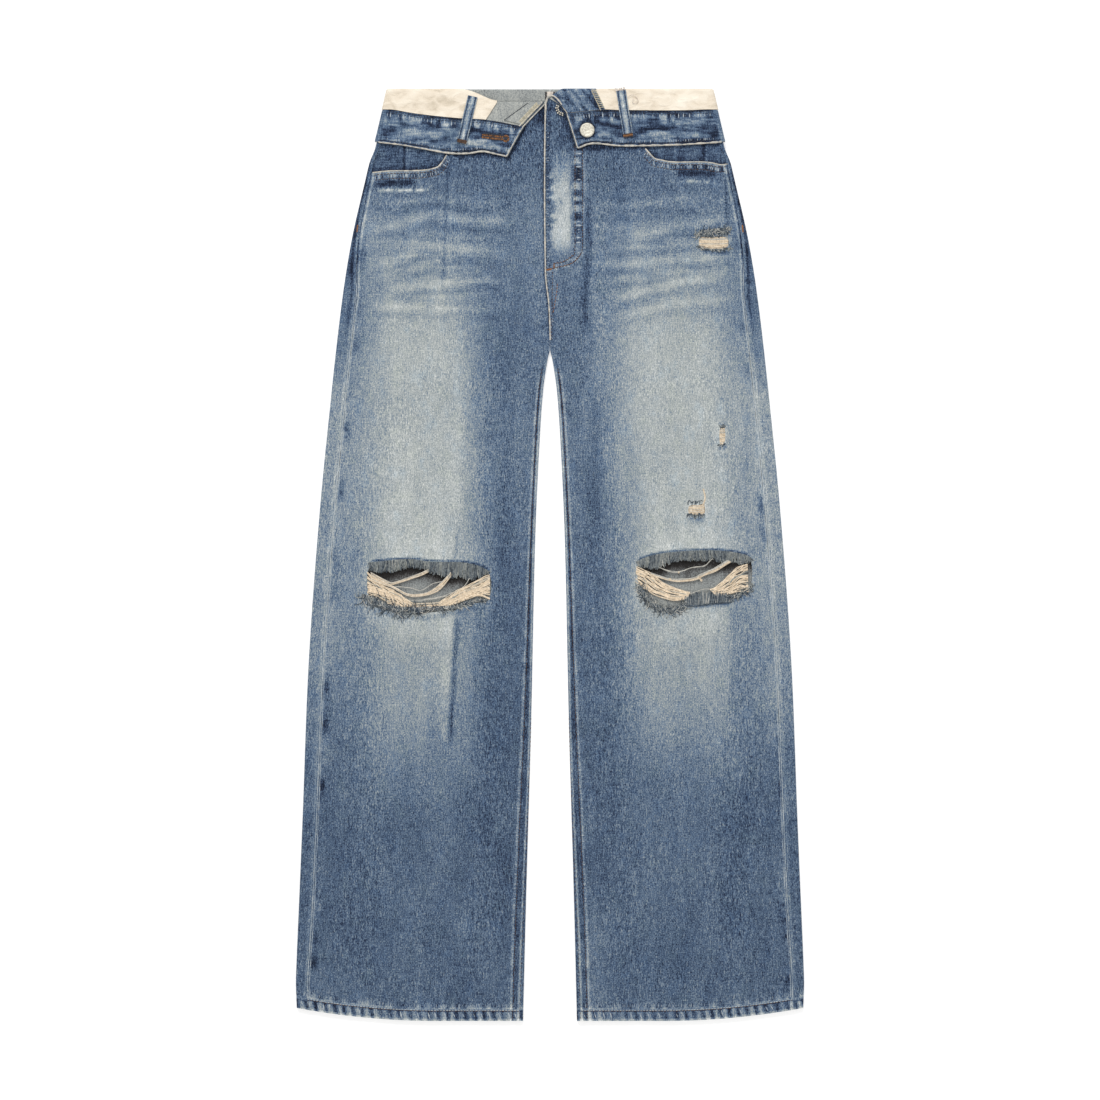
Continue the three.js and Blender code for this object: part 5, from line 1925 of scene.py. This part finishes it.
def band_row(side, v, start, stop):
    """A line along the front of the waistband, v across it, between its end and the garment's side."""
    x = side.sign * np.arange(side.end_x(v) + start, side_centre(BAND_MIDDLE_Y) - stop, 4.0)
    return np.column_stack([x, side.across_band(x, v)])


def band_sewing(finishes):
    sewn = Threads(*finishes)
    for side in SIDES:
        face = band_face(side)
        for v in (0.045, 0.93, 0.10):
            sewn.stitches(band_row(side, v, 3, 2), face, BLACKISH, 3.6, 2.8, 0.4)
        for v, pitch, length, radius in ((0.15, 4.2, 6.5, 0.8), (0.885, 2.8, 3.2, 0.5)):
            ridges(sewn, band_row(side, v, 5, 4), face, pitch, length, radius, 631 + side.sign)
        v = np.linspace(0.05, 0.93, 12)
        x = side.sign * (side.end_x(v) + 2.6)
        sewn.stitches(np.column_stack([x, side.across_band(x, v)]), face, BLACKISH, 3.4, 2.6, 0.34)
    return piece(sewn.make("waistband_stitching"), "waist_denim")


def buttonhole(finishes):
    """A keyhole buttonhole worked in satin stitch round a dark slit; the slit, the eye and the dark lines
    beside the slit are painted shade.
    """
    face = band_face(LEFT)
    sewn = Threads(*finishes)
    start, eye, eye_r = np.array((-76.5, 480.1)), np.array((-50.6, 477.4)), 3.6
    along = (eye - start) / np.linalg.norm(eye - start)
    across = np.array([-along[1], along[0]])
    neck = eye - along * eye_r * 0.8

    def out_at(angle):
        return along * math.cos(angle) + across * math.sin(angle)

    def stitch(inner, outer):
        ends = np.array([inner, (inner + outer) / 2, outer])
        z = face(ends[:, 0], ends[:, 1]) + np.array([0.05, 0.5, -0.1])
        slot = ORANGE if noise(inner[0] * 3, outer[1], 521) > 0 else BROWN
        sewn.add(np.column_stack([ends, z]), 0.42, slot)

    length = np.linalg.norm(neck - start)
    for t in np.arange(0, 1.0001, 0.62 / length):
        middle = lerp(start, neck, t)
        for way in (-1, 1):
            stitch(middle + across * way * 0.5, middle + across * way * 2.3)
    for angle in np.radians(np.arange(-145, 146, 9)):
        stitch(eye + out_at(angle) * (eye_r - 1.5), eye + out_at(angle) * (eye_r + 0.5))
    for way in np.linspace(-2, 2, 7):
        stitch(start - along * 1.4 + across * way, start + along * 0.5 + across * way)
    # Dark strands in the slit, beside it and in the eye: painted shade.
    slit = lerp(start, neck, np.linspace(0, 1, 12)[:, None])
    sewn.add(lie_on(slit, face, 0.3), 0.55, BLACKISH)
    sewn.add(lie_on(slit + across * 3.2, face, -0.1), 0.9, BLACKISH)
    sewn.add(lie_on(slit - across * 3.0, face, -0.2), 0.5, BLACKISH)
    hole = np.array([eye + out_at(angle) for angle in np.linspace(0, 2 * np.pi, 14)])
    sewn.add(lie_on(hole, face, 0.1), 1.1, BLACKISH)
    return piece(sewn.make("buttonhole_stitching"), "waist_denim")


def serging(threads, path, width, height):
    """Overlock stitches along a cut edge: slanting cross threads between two running ones."""
    path = curve(path, 1.0)
    along = unit(np.gradient(path, axis=0))
    across = np.stack([-along[:, 1], along[:, 0]], -1)
    run = np.arange(len(path))
    t = np.array([0, 0.5, 1.0])
    for at in np.arange(0.5, run[-1] - 1.2, 1.25):
        places = at + 1.1 * t
        out = sampled(across, run, places) * ((t - 0.5) * width)[:, None]
        spot = sampled(path, run, places) + out
        z = height(spot[:, 0], spot[:, 1]) + np.array([-0.1, 0.45, -0.1])
        threads.add(np.column_stack([spot, z]), 0.38)
    for way in (-0.5, 0.5):
        threads.add(lie_on(path + across * width * way, height, 0.15), 0.4)


def loop_sewing(name, points, finishes, frayed_top):
    """Stitches down both edges of a belt loop and a bartack at its bottom.

    frayed_top is the height of the loose ends at its top, if it has any."""
    sewn = Threads(*finishes)
    rows, columns = points.shape[:2]
    for column in (2, columns - 3):
        line = points[:, column]
        for start in np.arange(1, rows - 3, 2.6):
            at = start + np.array([0, 0.25, 1, 1.75, 2.0])
            spot = sampled(line, np.arange(rows), at)
            spot[:, 2] += DENIM / 2 + np.array([-0.3, 0.1, 0.25, 0.1, -0.3])
            sewn.add(spot, 0.36, BLACKISH)
    middle = BROWN if frayed_top is None else ORANGE
    for row, slot in ((-1, BROWN), (-2, middle), (-3, BROWN)):
        sewn.add(points[row] + (0, 0, DENIM / 2 + 0.25), 0.7, slot)
    if frayed_top is not None:
        for k in range(16):
            x0, y0, z0 = points[0, int(k * (columns - 1) / 15)]
            t = np.linspace(0, 1, 7)
            x = x0 + 3.5 * t * noise(k * 1.3, 0, 531) + 0.6 * noise(t * 4, k, 532)
            y = y0 - 1 + (2.2 + 2 * abs(noise(k * 2.2, 0, 533))) * t
            sewn.add(np.stack([x, y, z0 + 0.6 + 0 * t], -1), 0.3, WHITISH)
        curl = [(89, 524), (93, 527), (98, 526), (101, 521), (98, 517), (94, 519), (96, 523)]
        line = strand(curl, 0.4, 534, 1.0)
        sewn.add(np.column_stack([line, np.full(len(line), frayed_top)]), 0.34, WHITISH)
    return piece(sewn.make(f"{name}_stitching"), "waist_denim")


# ---- making everything

def make_all():
    denim = denim_finish("washed_denim")
    band_denim = denim_finish("waistband_denim", grain=0.9, streaks=0.34)
    inside = inside_finish("denim_inside")
    rim = rim_finish("worn_edge")
    cotton = cotton_finish("pocketing_cotton")
    metal = metal_finish("antique_silver")
    frays = thread_finishes(FRAYS)
    sewing = thread_finishes(SEWING)
    serge = thread_finish("serging_thread", (150, 144, 122), (218, 208, 184))
    leg_cloth = [denim, inside, rim]
    waist_cloth = [band_denim, inside, rim]

    fronts = [Front(side) for side in SIDES]
    panels = {side.name: front.make(leg_cloth) for side, front in zip(SIDES, fronts)}
    backs = {side.name: make_back(side, leg_cloth) for side in SIDES}
    strip, band_points = make_waistband([band_denim, band_denim, rim])
    parts = {side.name: [front_sewing(side, sewing)] for side in SIDES}
    *rolls, band_roll = edge_piping(fronts, band_points, [rim, frays[DARK]])
    for side, roll in zip(SIDES, rolls):
        parts[side.name].append(roll)
    threads = Threads(*frays)
    left_rip(threads)
    parts["left"].append(piece(threads.make("left_knee_threads"), "denim"))
    threads = Threads(*frays)
    right_rip(threads)
    small_holes(threads)
    parts["right"].append(piece(threads.make("right_leg_threads"), "denim"))

    band_parts = [band_roll, band_sewing(sewing), buttonhole(sewing)]

    for front in fronts:
        side = front.side
        yoke = make_yoke(side, leg_cloth)
        inner_seam = [centre_back_seam(sewing)] if side.sign < 0 else []
        bag, *facing = make_linings(front, cotton, waist_cloth)
        for made in facing:
            edge = facing_serging(front, [serge])
        make_pocket_facing(side, waist_cloth)
        make_back_pocket(side, leg_cloth)

    shield, shield_top = make_fly_shield([inside, inside, rim])
    edge = Threads(serge, sewing[BLACKISH])
    serging(edge, [(-34, 495.3), (-13.5, 517.5)], 4.2, lambda x, y: shield_top + 0 * x)
    # A dark strand along the shield's outer edge: painted shadow cast by that edge.
    edge.add([(-52.5, 498.4, shield_top), (-38.5, 508.3, shield_top), (-25.2, 518.2, shield_top)], 0.45, 1)
    sewn = piece(edge.make("fly_shield_serging"), "waist_denim")

    for name, x in BACK_LOOPS.items():
        _, made = make_loop(f"belt_loop_back_{name}_strip", (x, 517), (x, 474), 0, 0, waist_cloth)
        piece(made, "waist_denim", f"belt_loop_back_{name}")
    for name, (top, bottom) in FRONT_LOOPS.items():
        points, made = make_loop(f"belt_loop_front_{name}_strip", top, bottom, LOOP_Z, 0.5, waist_cloth)
        piece(made, "waist_denim", f"belt_loop_front_{name}")
        sewn = loop_sewing(made.name, points, sewing, LOOP_Z + 1.4 if name == "right" else None)
    make_button(metal)
    make_zip_slider(metal, sewing[BLACKISH])


def facing_serging(front, finishes):
    """The overlocked end of the fly facing."""
    end = front.facing_grid()[8 + BEND // 2:, 0]  # its outer end, from the middle of the fold on
    edges = Threads(*finishes)

    def height(x, y):
        return np.interp(-y, -end[:, 1], end[:, 2]) + DENIM / 2

    serging(edges, end[:, :2] - (2.6, 0), 5.0, height)
    return piece(edges.make("fly_facing_serging"), "waist_denim")


make_camera()
make_studio()
make_all()
